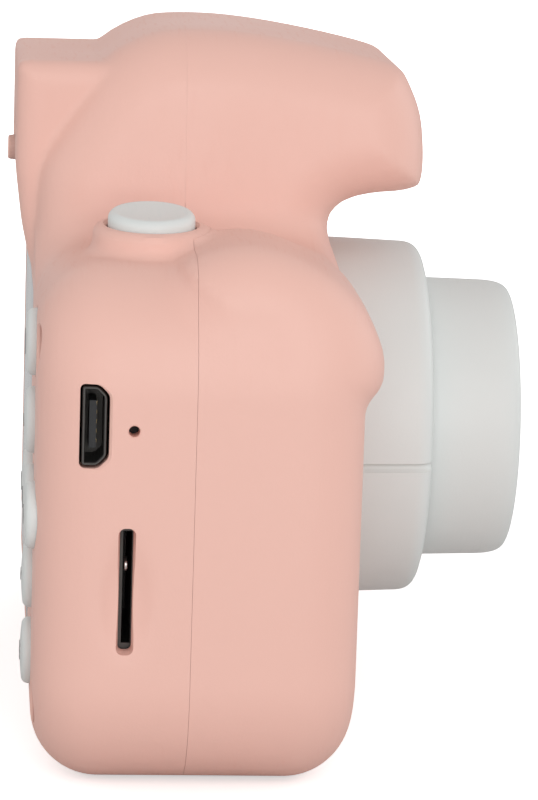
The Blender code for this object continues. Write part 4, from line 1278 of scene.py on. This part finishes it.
@dataclass
class RearButtons:
    """Seven round buttons behind the grip: power, a cross of five, and menu."""

    bench: Bench
    radius: float = 3.4
    edge: float = 0.7
    stem: float = 1.3
    flange_depth: float = 2.3
    flange_thickness: float = 0.8
    crown: float = 0.16
    crown_room: float = 0.2
    clearance: float = 0.15
    face_y: float = 16.2
    mark_half: float = 0.16
    mark_height: float = 0.07

    def holes(self) -> list[Surface]:
        """The caps' holes in the rear shell, each with a small lead-in."""
        return [pin(self.radius + self.clearance, self.face_y - 5, self.face_y + 4,
                    self.bench.round_part(f"{mark.value}_button")[3], flare=0.18,
                    mouth=self.face_y) for mark in Mark]

    def build(self) -> None:
        """Make the seven caps and the signs on them."""
        for mark in Mark:
            node = f"{mark.value}_button"
            flange, tip, top, centre = self.bench.round_part(node)
            rear = self.face_y - self.flange_depth
            front = rear - self.flange_thickness
            stem = [(0, tip), (self.stem, tip), (self.stem, front), (flange, front),
                    (flange, rear), (self.radius, rear)]
            rim = top - self.crown_room
            profile = cap_profile(stem, self.radius, rim, self.edge, self.crown)
            self.bench.piece(f"{mark.value}_cap", turned(profile, centre, segments=72),
                             Look.WHITE, "white_plastic", node, [node])
            for number, (path, closed) in enumerate(self.strokes(mark), start=1):
                self.stroke(f"{mark.value}_mark_{number}", mark, path, closed, rim)

    def strokes(self, mark: Mark) -> list[tuple[Array, bool]]:
        """Lines of a sign, as x and z from the button's middle seen from behind.

        Args:
            mark: which sign.

        Returns:
            Each line's points, and whether it is a loop.
        """
        if mark is Mark.POWER:
            turn = np.radians(np.linspace(125, 415, 40))
            arc = 1.15 * np.stack([np.cos(turn), np.sin(turn)], axis=1)
            return [(arc, False), (np.array([(0, 0.45), (0, 0.9), (0, 1.35)]), False)]
        if mark is Mark.OK:
            turn = np.linspace(0, math.tau, 40, endpoint=False)
            return [(0.95 * np.stack([np.cos(turn), np.sin(turn)], axis=1), True)]
        if mark is Mark.MENU:
            return [(np.array([(-0.95, z), (0, z), (0.95, z)]), False) for z in (-0.65, 0, 0.65)]
        turns = {Mark.UP: 0, Mark.LEFT: 90, Mark.DOWN: 180, Mark.RIGHT: 270}
        angle = math.radians(turns[mark])
        chevron = np.array([(-0.9, -0.4), (-0.45, 0.05), (0, 0.5), (0.45, 0.05), (0.9, -0.4)])
        spin = np.array([[math.cos(angle), math.sin(angle)], [-math.sin(angle), math.cos(angle)]])
        return [(chevron @ spin, False)]

    def stroke(self, name: str, mark: Mark, path: Array, closed: bool, top: float) -> None:
        """Make one printed line, a flat bar that follows the cap's crown.

        Args:
            name: the piece's name.
            mark: the sign it belongs to.
            path: its points seen from behind.
            closed: whether it is a loop.
            top: station of the cap's outer edge.
        """
        x, _, z = self.bench.middle(f"{mark.value}_button")
        off = np.linalg.norm(path, axis=1) / (self.radius - self.edge)
        crown = top + self.crown * (1 - off ** 2)
        line = np.stack([x - path[:, 0], crown, z + path[:, 1]], axis=1)
        half = self.mark_half
        bar = np.array([(-half, -0.1), (half, -0.1), (half, 0.6 * self.mark_height),
                        (0.7 * half, self.mark_height), (-0.7 * half, self.mark_height),
                        (-half, 0.6 * self.mark_height)])
        self.bench.piece(name, swept(line, bar, (0, 1, 0), closed), Look.INK, "white_plastic",
                         f"{mark.value}_button")


# --- screen, hump optics, sockets and screws -------------------------------------------------
@dataclass
class Screen:
    """The rear window in its recess."""

    bench: Bench
    face_y: float = 16.2
    corner: float = 2.0
    glass: float = 1.2
    gap: float = 0.14
    ledge: float = 2.5

    def outline(self, node: str = "screen_window") -> tuple[Array, Array]:
        """The window's outline in x and z about its middle, and that middle."""
        low, high = self.bench.span(node)
        half = (high - low)[[0, 2]] / 2
        return rounded_rectangle(tuple(half), self.corner), ((low + high) / 2)[[0, 2]]

    def holes(self) -> list[Surface]:
        """The window's recess with a softened edge, and the opening behind it."""
        outline, middle = self.outline()
        face = self.face_y
        floor = face - self.glass
        wide = self.gap + 0.2
        recess = plate(outline + middle, [(self.gap, floor), (self.gap, face - 0.2), (wide, face),
                                          (wide, face + 3)], "Y")
        opening = plate(grown(outline, -self.ledge) + middle, [(0.0, face - 6), (0.0, floor + 0.5)], "Y")
        return [recess, opening]

    def build(self) -> None:
        """Make the window: a plate with softened edges."""
        outline, middle = self.outline()
        low, high = self.bench.span("screen_window")
        front, rear = low[1], high[1]
        levels = [(-0.1, front), (0.0, front + 0.1), (0.0, rear - 0.25), (-0.08, rear - 0.1),
                  (-0.25, rear - 0.02), (-0.45, rear)]
        self.bench.piece("screen_glass", plate(outline + middle, levels, "Y"), Look.SCREEN,
                         "dark_glass", replaced=["screen_window"])


@dataclass
class HumpOptics:
    """The flash cover in the front of the hump and the rear camera's window."""

    bench: Bench
    gap: float = 0.12
    eyepiece_face: float = 18.3

    def holes(self) -> dict[str, list[Surface]]:
        """Recesses and openings for both windows."""
        flash, flash_front, flash_rear, flash_axis = self.bench.round_part("flash_window")
        camera, camera_front, _, camera_axis = self.bench.round_part("rear_camera_window")
        out = flash_front - 6
        return {
            "front": [pin(flash + self.gap, flash_rear + 0.15, out, flash_axis),
                      pin(flash - 0.8, flash_rear + 4, out, flash_axis)],
            "rear": [pin(camera + self.gap, camera_front - 0.15, 26, camera_axis, flare=0.25,
                         mouth=self.eyepiece_face, segments=72),
                     pin(camera - 1.2, 12, 26, camera_axis)],
        }

    def build(self) -> None:
        """Make both windows."""
        self.flash()
        self.rear_camera()

    def flash(self) -> None:
        """Ribbed flash cover: its front is a wave of rings, radius times a cosine."""
        radius, front, rear, centre = self.bench.round_part("flash_window")
        share = np.linspace(0, 1, 61)
        wave = 0.06 * (1 - np.cos(share * 9 * math.tau))
        face = np.stack([share * (radius - 0.25), front + wave], axis=1)
        profile = np.concatenate([face, [(radius, front + 0.2), (radius, rear), (0.0, rear)]])
        self.bench.piece("flash_cover", turned(profile, centre, segments=72), Look.FLASH,
                         "clear_window", replaced=["flash_window"], sharp=60)

    def rear_camera(self) -> None:
        """Flat dark window with a small round rim standing in its middle."""
        radius, front, rear, centre = self.bench.round_part("rear_camera_window")
        face = max(rear - 1.3, front + 0.3)
        flat = np.array([(0.0, front), (radius, front), (radius, face - 0.15),
                         (radius - 0.15, face), (0.0, face)])
        self.bench.piece("rear_camera_glass", turned(flat, centre, segments=96),
                         Look.SCREEN, "dark_glass", replaced=["rear_camera_window"])
        rim = softened([(0.8, face - 0.1), (1.4, face - 0.1), (1.3, rear), (0.9, rear)],
                       (0.05, 0.05, 0.4, 0.2), 5, closed=True)
        self.bench.piece("rear_camera_rim", turned(rim, centre, segments=64), Look.CASE,
                         "pink_shell")


@dataclass
class Sockets:
    """What opens in the grip side: charging socket, reset pinhole and memory card slot."""

    bench: Bench
    side_x: float = -48.0
    sheet: float = 0.3
    corner: float = 0.9
    slot: float = 1.35
    slot_length: float = 12.4
    slot_y: float = 7.3
    pinhole: float = 0.55
    rear_y: float = 16.2
    ear: float = 0.45
    grille_hole: float = 0.7
    grille_ring: float = 2.6
    contacts: int = 5

    def port(self) -> tuple[Array, float, float]:
        """Outline of the socket in y and z, its mouth and its closed end."""
        low, high = self.bench.span("charging_socket")
        chamfer = self.corner
        corners = [(low[1], low[2] + chamfer), (low[1] + chamfer, low[2]), (high[1], low[2]),
                   (high[1], high[2]), (low[1] + chamfer, high[2]), (low[1], high[2] - chamfer)]
        return softened(corners, 0.35, 5, closed=True), low[0], high[0]

    def holes(self) -> list[Surface]:
        """The three openings in the grip side."""
        outline, _, _ = self.port()
        side = self.side_x
        port = plate(outline, [(0.5, side - 4), (0.5, side), (0.25, side + 0.25), (0.25, side + 5)], "X")
        card = self.bench.middle("card_socket")
        reset = self.bench.middle("reset_switch")
        slot = rounded_rectangle((self.slot / 2, self.slot_length / 2), 0.5, 4)
        slot = plate(slot + (self.slot_y, card[2]),
                     [(0.18, side - 4), (0.18, side + 0.5), (0.0, side + 0.9), (0.0, side + 6)], "X")
        hole = pin(self.pinhole, side + 5, side - 4, (0, reset[1], reset[2]), "X", flare=0.1,
                   mouth=side, segments=32)
        return [port, slot, hole]

    def microphone_hole(self) -> Surface:
        """The small hole in the rear face over the microphone."""
        x, _, z = self.bench.middle("microphone")
        return pin(self.ear, 10, 20, (x, 0, z), flare=0.08, mouth=self.rear_y, segments=24)

    def speaker_holes(self) -> list[Surface]:
        """One hole in the middle of six, in the far side, all of one size."""
        _, y, z = self.bench.middle("speaker")
        side = -self.side_x
        turn = np.arange(6) * math.tau / 6
        ring = self.grille_ring * np.stack([np.cos(turn), np.sin(turn)], axis=1)
        return [pin(self.grille_hole, side - 6, side + 4, (0, y + a, z + b), "X", flare=0.12,
                    mouth=side, segments=32) for a, b in np.concatenate([[(0.0, 0.0)], ring])]

    def build(self) -> None:
        """Make the socket's pressed shell and the contacts on its tongue."""
        outline, mouth, end = self.port()
        sheet = self.sheet
        levels = [(-0.1, end), (0.0, end - 0.1), (0.0, mouth + 0.1), (-0.08, mouth),
                  (-sheet + 0.08, mouth), (-sheet, mouth + 0.1), (-sheet, end - sheet)]
        # The shell gets the tin darkened to painted shade, which stands for the dark inside of the
        # socket.
        self.bench.piece("port_shell", plate(outline, levels, "X"), Look.SHADE_DARK_TIN, "plain_steel",
                         replaced=["charging_socket"])
        self.card_spring()
        low, high = self.bench.span("charging_tongue")
        pitch = (high[2] - low[2]) / self.contacts
        for number in range(self.contacts):
            z = low[2] + pitch * (number + 0.5)
            strip = rounded_rectangle((0.5 * (high[0] - low[0]) - 0.7, 0.25 * pitch), 0.12, 3)
            strip = strip + ((low[0] + high[0]) / 2 + 0.5, z)
            self.bench.piece(f"port_contact_{number + 1}",
                             plate(strip, [(0.0, low[1] - 0.06), (0.0, low[1] + 0.1)], "Y"),
                             Look.GOLD, "plain_steel")

    def card_spring(self, above: float = 2.2) -> None:
        """The bent tip of the card socket's spring, a thin wire that shows in the slot."""
        mouth = self.bench.span("card_socket")[0][0]
        z = self.bench.middle("card_socket")[2] + above
        y = self.slot_y
        path = softened([(mouth + 0.6, y, z - 0.6), (mouth - 0.35, y, z - 0.35),
                         (mouth - 0.45, y, z + 0.3), (mouth + 0.5, y, z + 0.7)], 0.4, 6)
        self.bench.piece("card_spring", swept(path, rounded_rectangle((0.14, 0.16), 0.1, 3),
                                              (0, 1, 0)), Look.STEEL, "plain_steel")


@dataclass
class Screws:
    """Four case screws with a cross drive, in deep rooms in the rear shell."""

    bench: Bench
    room: float = 2.5
    shank_room: float = 1.2
    face_y: float = 16.2
    boss_floor: float = 12.6

    def holes(self) -> list[Surface]:
        """The rooms for the heads, each with a small lead-in."""
        rooms = []
        for number in range(1, 5):
            centre = self.bench.round_part(f"case_screw_{number}")[3]
            rooms.append(pin(self.room, self.boss_floor, self.face_y + 4, centre, flare=0.25,
                             mouth=self.face_y))
            rooms.append(pin(self.shank_room, -3, self.boss_floor + 2, centre))
        return rooms

    def build(self) -> None:
        """Make each screw: a pan head, a shank with thread ridges and a cross recess.

        The thread is a triangle wave along the shank.
        """
        for number in range(1, 5):
            node = f"case_screw_{number}"
            head, tip, top, centre = self.bench.round_part(node)
            x, _, z = centre
            seat = top - 1.6
            station = np.linspace(tip + 1.5, seat - 0.3, 73)
            ridge = 1.0 - 0.22 * np.abs((station / 0.85) % 1 * 2 - 1)
            thread = np.stack([ridge, station], axis=1)
            turn = np.linspace(0, math.pi / 2, 7)
            pan = np.stack([head - 0.8 + 0.8 * np.cos(turn), top - 0.8 + 0.8 * np.sin(turn)], axis=1)
            profile = np.concatenate([[(0, tip), (0.3, tip)], thread,
                                      [(1.0, seat), (head, seat)], pan, [(0, top)]])
            carver = Carver(self.bench, self.bench.solid(f"screw_{number}", turned(
                profile, centre, segments=40)))
            for half_x, half_z in ((1.3, 0.26), (0.26, 1.3)):
                carver.cut(block((x - half_x, top - 0.9, z - half_z),
                                 (x + half_x, top + 1, z + half_z)))
            self.bench.piece(f"screw_{number}", carver.finish(), Look.SCREW, "plain_steel",
                             replaced=[node])


@dataclass
class Inside:
    """The pieces that keep their CAD shape, and the finish of each."""

    bench: Bench

    def build(self) -> None:
        """Dress every CAD node that shows or can be taken out."""
        looks = {
            Look.BOARD: ["main_board", "flash_board", "shutter_switch_board"],
            Look.CHIP: ["processor", "front_camera_module", "rear_camera_module"],
            Look.BLACK: ["camera_bracket", "charging_tongue"],
            Look.STEEL: ["microphone", "board_screw_1", "board_screw_2"],
            # The card socket gets the tin darkened to painted shade, which stands for the dark inside of
            # the slot.
            Look.SHADE_DARK_TIN: ["card_socket"],
            Look.FILM: ["front_camera_ribbon", "rear_camera_ribbon", "screen_ribbon"],
            Look.LED: ["flash_light"],
            Look.PANEL: ["screen_display"],
            Look.WRAP: ["battery"],
            Look.WIRE: ["battery_lead"],
            Look.CONE: ["speaker"],
        }
        looks[Look.CHIP] += [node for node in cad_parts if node.endswith("_switch")]
        for look, nodes in looks.items():
            for node in nodes:
                self.bench.dress(node, look)


# --- finishes by name ------------------------------------------------------------------------
FINISHES: dict[Look, Finish] = {
    Look.CASE: Finish((0.83, 0.505, 0.43), (0.80, 0.47, 0.395), 0.35, (0.40, 0.50), 3600.0, 0.010,
                      specular=0.35),
    Look.WHITE: Finish((0.715, 0.735, 0.72), (0.68, 0.695, 0.68), 0.35, (0.38, 0.47), 3800.0, 0.008,
                       specular=0.35),
    Look.BLACK: Finish((0.012, 0.012, 0.014), (0.02, 0.02, 0.022), 0.6, (0.42, 0.55), 3000.0, 0.012),
    Look.INK: Finish((0.30, 0.29, 0.29), (0.36, 0.35, 0.35), 0.5, (0.5, 0.6), 4200.0, 0.004),
    Look.LENS_GLASS: GlassFinish((0.96, 0.97, 1.0), (0.93, 0.95, 0.99), 0.3, (0.02, 0.05), 900.0,
                                 0.0004, hairlines=0.03),
    Look.STEEL: Finish((0.62, 0.61, 0.60), (0.52, 0.51, 0.50), 0.6, (0.26, 0.38), 2600.0, 0.006,
                       metallic=1.0),
    # Painted shade: the tin is made nearly black so that the insides of the sockets read as shaded.
    Look.SHADE_DARK_TIN: Finish((0.11, 0.105, 0.10), (0.07, 0.066, 0.062), 0.6, (0.38, 0.5), 2600.0, 0.006,
                     metallic=1.0),
    Look.SCREW: Finish((0.58, 0.58, 0.59), (0.42, 0.42, 0.43), 0.7, (0.24, 0.36), 3000.0, 0.006,
                       metallic=1.0, stretch=(1.0, 1.0, 12.0)),
    Look.GOLD: Finish((0.85, 0.62, 0.28), (0.75, 0.52, 0.22), 0.5, (0.22, 0.3), 2600.0, 0.004,
                      metallic=1.0),
    Look.BOARD: BoardFinish((0.012, 0.12, 0.05), (0.02, 0.16, 0.06), 0.5, (0.3, 0.4), 1500.0, 0.01),
    Look.CHIP: Finish((0.02, 0.02, 0.022), (0.035, 0.035, 0.036), 0.5, (0.5, 0.62), 5000.0, 0.008),
    Look.LED: Finish((0.86, 0.74, 0.24), (0.9, 0.82, 0.42), 0.6, (0.18, 0.26), 1800.0, 0.006),
    Look.FILM: StripedFinish((0.36, 0.13, 0.03), (0.42, 0.17, 0.04), 0.5, (0.25, 0.35), 1500.0,
                             0.004, line=(0.62, 0.30, 0.09), pitch=0.5),
    Look.PANEL: StripedFinish((0.02, 0.024, 0.03), (0.03, 0.034, 0.04), 0.4, (0.1, 0.18), 1500.0,
                              0.002, line=(0.03, 0.035, 0.045), pitch=0.3),
    Look.WRAP: Finish((0.62, 0.64, 0.66), (0.5, 0.53, 0.56), 0.6, (0.28, 0.4), 700.0, 0.03),
    Look.WIRE: Finish((0.5, 0.02, 0.015), (0.56, 0.03, 0.02), 0.5, (0.35, 0.45), 2000.0, 0.01),
    Look.CONE: Finish((0.03, 0.03, 0.032), (0.05, 0.05, 0.05), 0.6, (0.55, 0.7), 2400.0, 0.02),
    Look.FLASH: GlassFinish((0.94, 0.94, 0.92), (0.9, 0.9, 0.87), 0.5, (0.10, 0.2), 1500.0, 0.004,
                            transmission=0.85),
}


def placed_finishes(bench: Bench) -> None:
    """Add the finishes whose pattern is centred on a piece.

    Args:
        bench: gives the places of the screen and of the camera's lens.
    """
    display_low, display_high = bench.span("screen_display")
    window = bench.metres(bench.middle("screen_window"))
    half = (display_high - display_low)[[0, 2]] / 2 * MM * 0.93
    FINISHES[Look.SCREEN] = WindowFinish(
        (0.006, 0.006, 0.007), (0.009, 0.009, 0.01), 0.5, (0.05, 0.09), 900.0, 0.0006, coat=0.6,
        hairlines=0.05, centre=tuple(window), half=tuple(half), clear=(0.022, 0.025, 0.03))
    pupil = bench.metres(bench.middle("front_camera_lens"))
    FINISHES[Look.PUPIL] = CoatedFinish(
        (0.006, 0.004, 0.012), (0.008, 0.006, 0.016), 0.5, (0.03, 0.06), 900.0, 0.0006, coat=1.0,
        hairlines=0.02, centre=tuple(pupil), reach=0.0016, rim=(0.05, 0.03, 0.12))


# --- studio ----------------------------------------------------------------------------------
@dataclass
class Studio:
    """Pale floor, soft lights and the camera."""

    bench: Bench
    camera_place: tuple[float, float, float] = (-391.04, 31.73, 108.76)
    azimuth: float = -94.873
    elevation: float = 11.144
    roll: float = 1.834
    focal: float = 163.4

    def build(self) -> None:
        """Set the stage."""
        self.floor()
        self.world()
        self.lamp("key_light", (-640, -60, 220), 620, 2.35)
        self.lamp("front_light", (160, -640, 240), 560, 0.95)
        self.lamp("side_light", (640, 120, 320), 560, 0.25)
        self.lamp("back_light", (-160, 660, 220), 560, 0.55)
        self.camera()
        bpy.context.scene.view_settings.view_transform = "Standard"

    def floor(self) -> None:
        """A wide pale floor just under the camera, with a faint mottle.

        Seen directly it glows a little, more so the further it is from the middle, so that it
        runs into the backdrop. As a source of bounced light it is a duller grey.
        """
        outline = rounded_rectangle((3000.0, 3000.0), 600.0, 12)
        rings = np.insert(np.stack([outline, outline]), 2, 0.0, axis=2)
        rings[0, :, 2] = -1.0
        floor = self.bench.solid("studio_floor", loft(rings))
        material = bpy.data.materials.new("pale_floor")
        material.use_nodes = True
        nodes = Nodes(material.node_tree)
        place = nodes.add("TexCoord").outputs["Object"]
        tone = nodes.group(self.bench.effects.tone, {
            "Vector": place, "Scale": 6.0, "Amount": 0.3, "Colour": (0.95, 0.95, 0.95, 1.0),
            "Drift": (0.93, 0.93, 0.93, 1.0)})
        away = nodes.vector("DISTANCE", place, (0.0, 0.0, 0.0)).outputs["Value"]
        plain = {"Roughness": 0.8, "Specular IOR Level": 0.1}
        shown = nodes.add("BsdfPrincipled", plain | {
            "Base Color": tone, "Emission Color": (1.0, 1.0, 1.0, 1.0),
            "Emission Strength": nodes.remap(away, 0.03, 0.45, 0.5, 1.1)})
        bounce = nodes.add("BsdfPrincipled", plain | {"Base Color": (0.72, 0.72, 0.72, 1.0)})
        path = nodes.add("LightPath")
        mix = nodes.add("MixShader", {0: path.outputs["Is Camera Ray"],
                                      1: bounce.outputs["BSDF"], 2: shown.outputs["BSDF"]})
        nodes.add("OutputMaterial", {"Surface": mix.outputs["Shader"]})
        floor.data.materials.append(material)

    def world(self) -> None:
        """White surroundings, a little dimmer as a light than as a backdrop."""
        world = bpy.data.worlds.new("studio")
        bpy.context.scene.world = world
        world.use_nodes = True
        nodes = Nodes(world.node_tree)
        path = nodes.add("LightPath")
        light = nodes.add("Background", {"Color": (1.0, 1.0, 1.0, 1.0), "Strength": 0.58})
        backdrop = nodes.add("Background", {"Color": (1.0, 1.0, 1.0, 1.0), "Strength": 1.05})
        mix = nodes.add("MixShader", {0: path.outputs["Is Camera Ray"],
                                      1: light.outputs["Background"],
                                      2: backdrop.outputs["Background"]})
        nodes.add("OutputWorld", {"Surface": mix.outputs["Shader"]})

    def lamp(self, name: str, place: tuple[float, float, float], size: float, power: float) -> None:
        """Hang one large soft light that faces the camera's middle.

        Args:
            name: the light's name.
            place: where it hangs, in the frame's millimetres.
            size: side of its square in millimetres.
            power: its power in watts.
        """
        data = bpy.data.lights.new(name, "AREA")
        data.size = size * MM
        data.energy = power
        lamp = bpy.data.objects.new(name, data)
        lamp.location = Vector(place) * MM
        lamp.rotation_mode = "QUATERNION"
        lamp.rotation_quaternion = (Vector((0, 0, 35)) * MM - lamp.location).to_track_quat("-Z", "Y")
        bpy.context.scene.collection.objects.link(lamp)

    def camera(self) -> None:
        """Look at the grip side, slightly from above and turned a little about the view."""
        turn = math.radians(self.azimuth)
        rise = math.radians(self.elevation)
        back = Vector((math.sin(turn) * math.cos(rise), -math.cos(turn) * math.cos(rise),
                       math.sin(rise)))
        right = Vector((0, 0, 1)).cross(back).normalized()
        upright = back.cross(right)
        matrix = Matrix((right, upright, back)).transposed().to_4x4()
        matrix = matrix @ Matrix.Rotation(math.radians(self.roll), 4, "Z")
        matrix.translation = Vector(self.camera_place) * MM
        data = bpy.data.cameras.new("camera")
        data.lens = self.focal
        camera = bpy.data.objects.new("camera", data)
        camera.matrix_world = matrix
        bpy.context.scene.collection.objects.link(camera)
        bpy.context.scene.camera = camera


def main() -> None:
    """Build the camera's looks, sub-assembly by sub-assembly, and the studio round it."""
    bench = Bench()
    placed_finishes(bench)
    Studio(bench).build()
    lens = Lens(bench)
    shutter = Shutter(bench)
    buttons = RearButtons(bench)
    screen = Screen(bench)
    optics = HumpOptics(bench)
    sockets = Sockets(bench)
    screws = Screws(bench)
    windows = optics.holes()
    Case(bench).build({
        "front": [lens.hole()] + windows["front"] + sockets.speaker_holes(),
        "rear": sockets.holes() + [shutter.hole(), sockets.microphone_hole()] + buttons.holes()
                + screen.holes() + windows["rear"] + screws.holes(),
    })
    for assembly in (lens, shutter, buttons, screen, optics, sockets, screws, Inside(bench)):
        assembly.build()


if __name__ == "__main__":
    main()
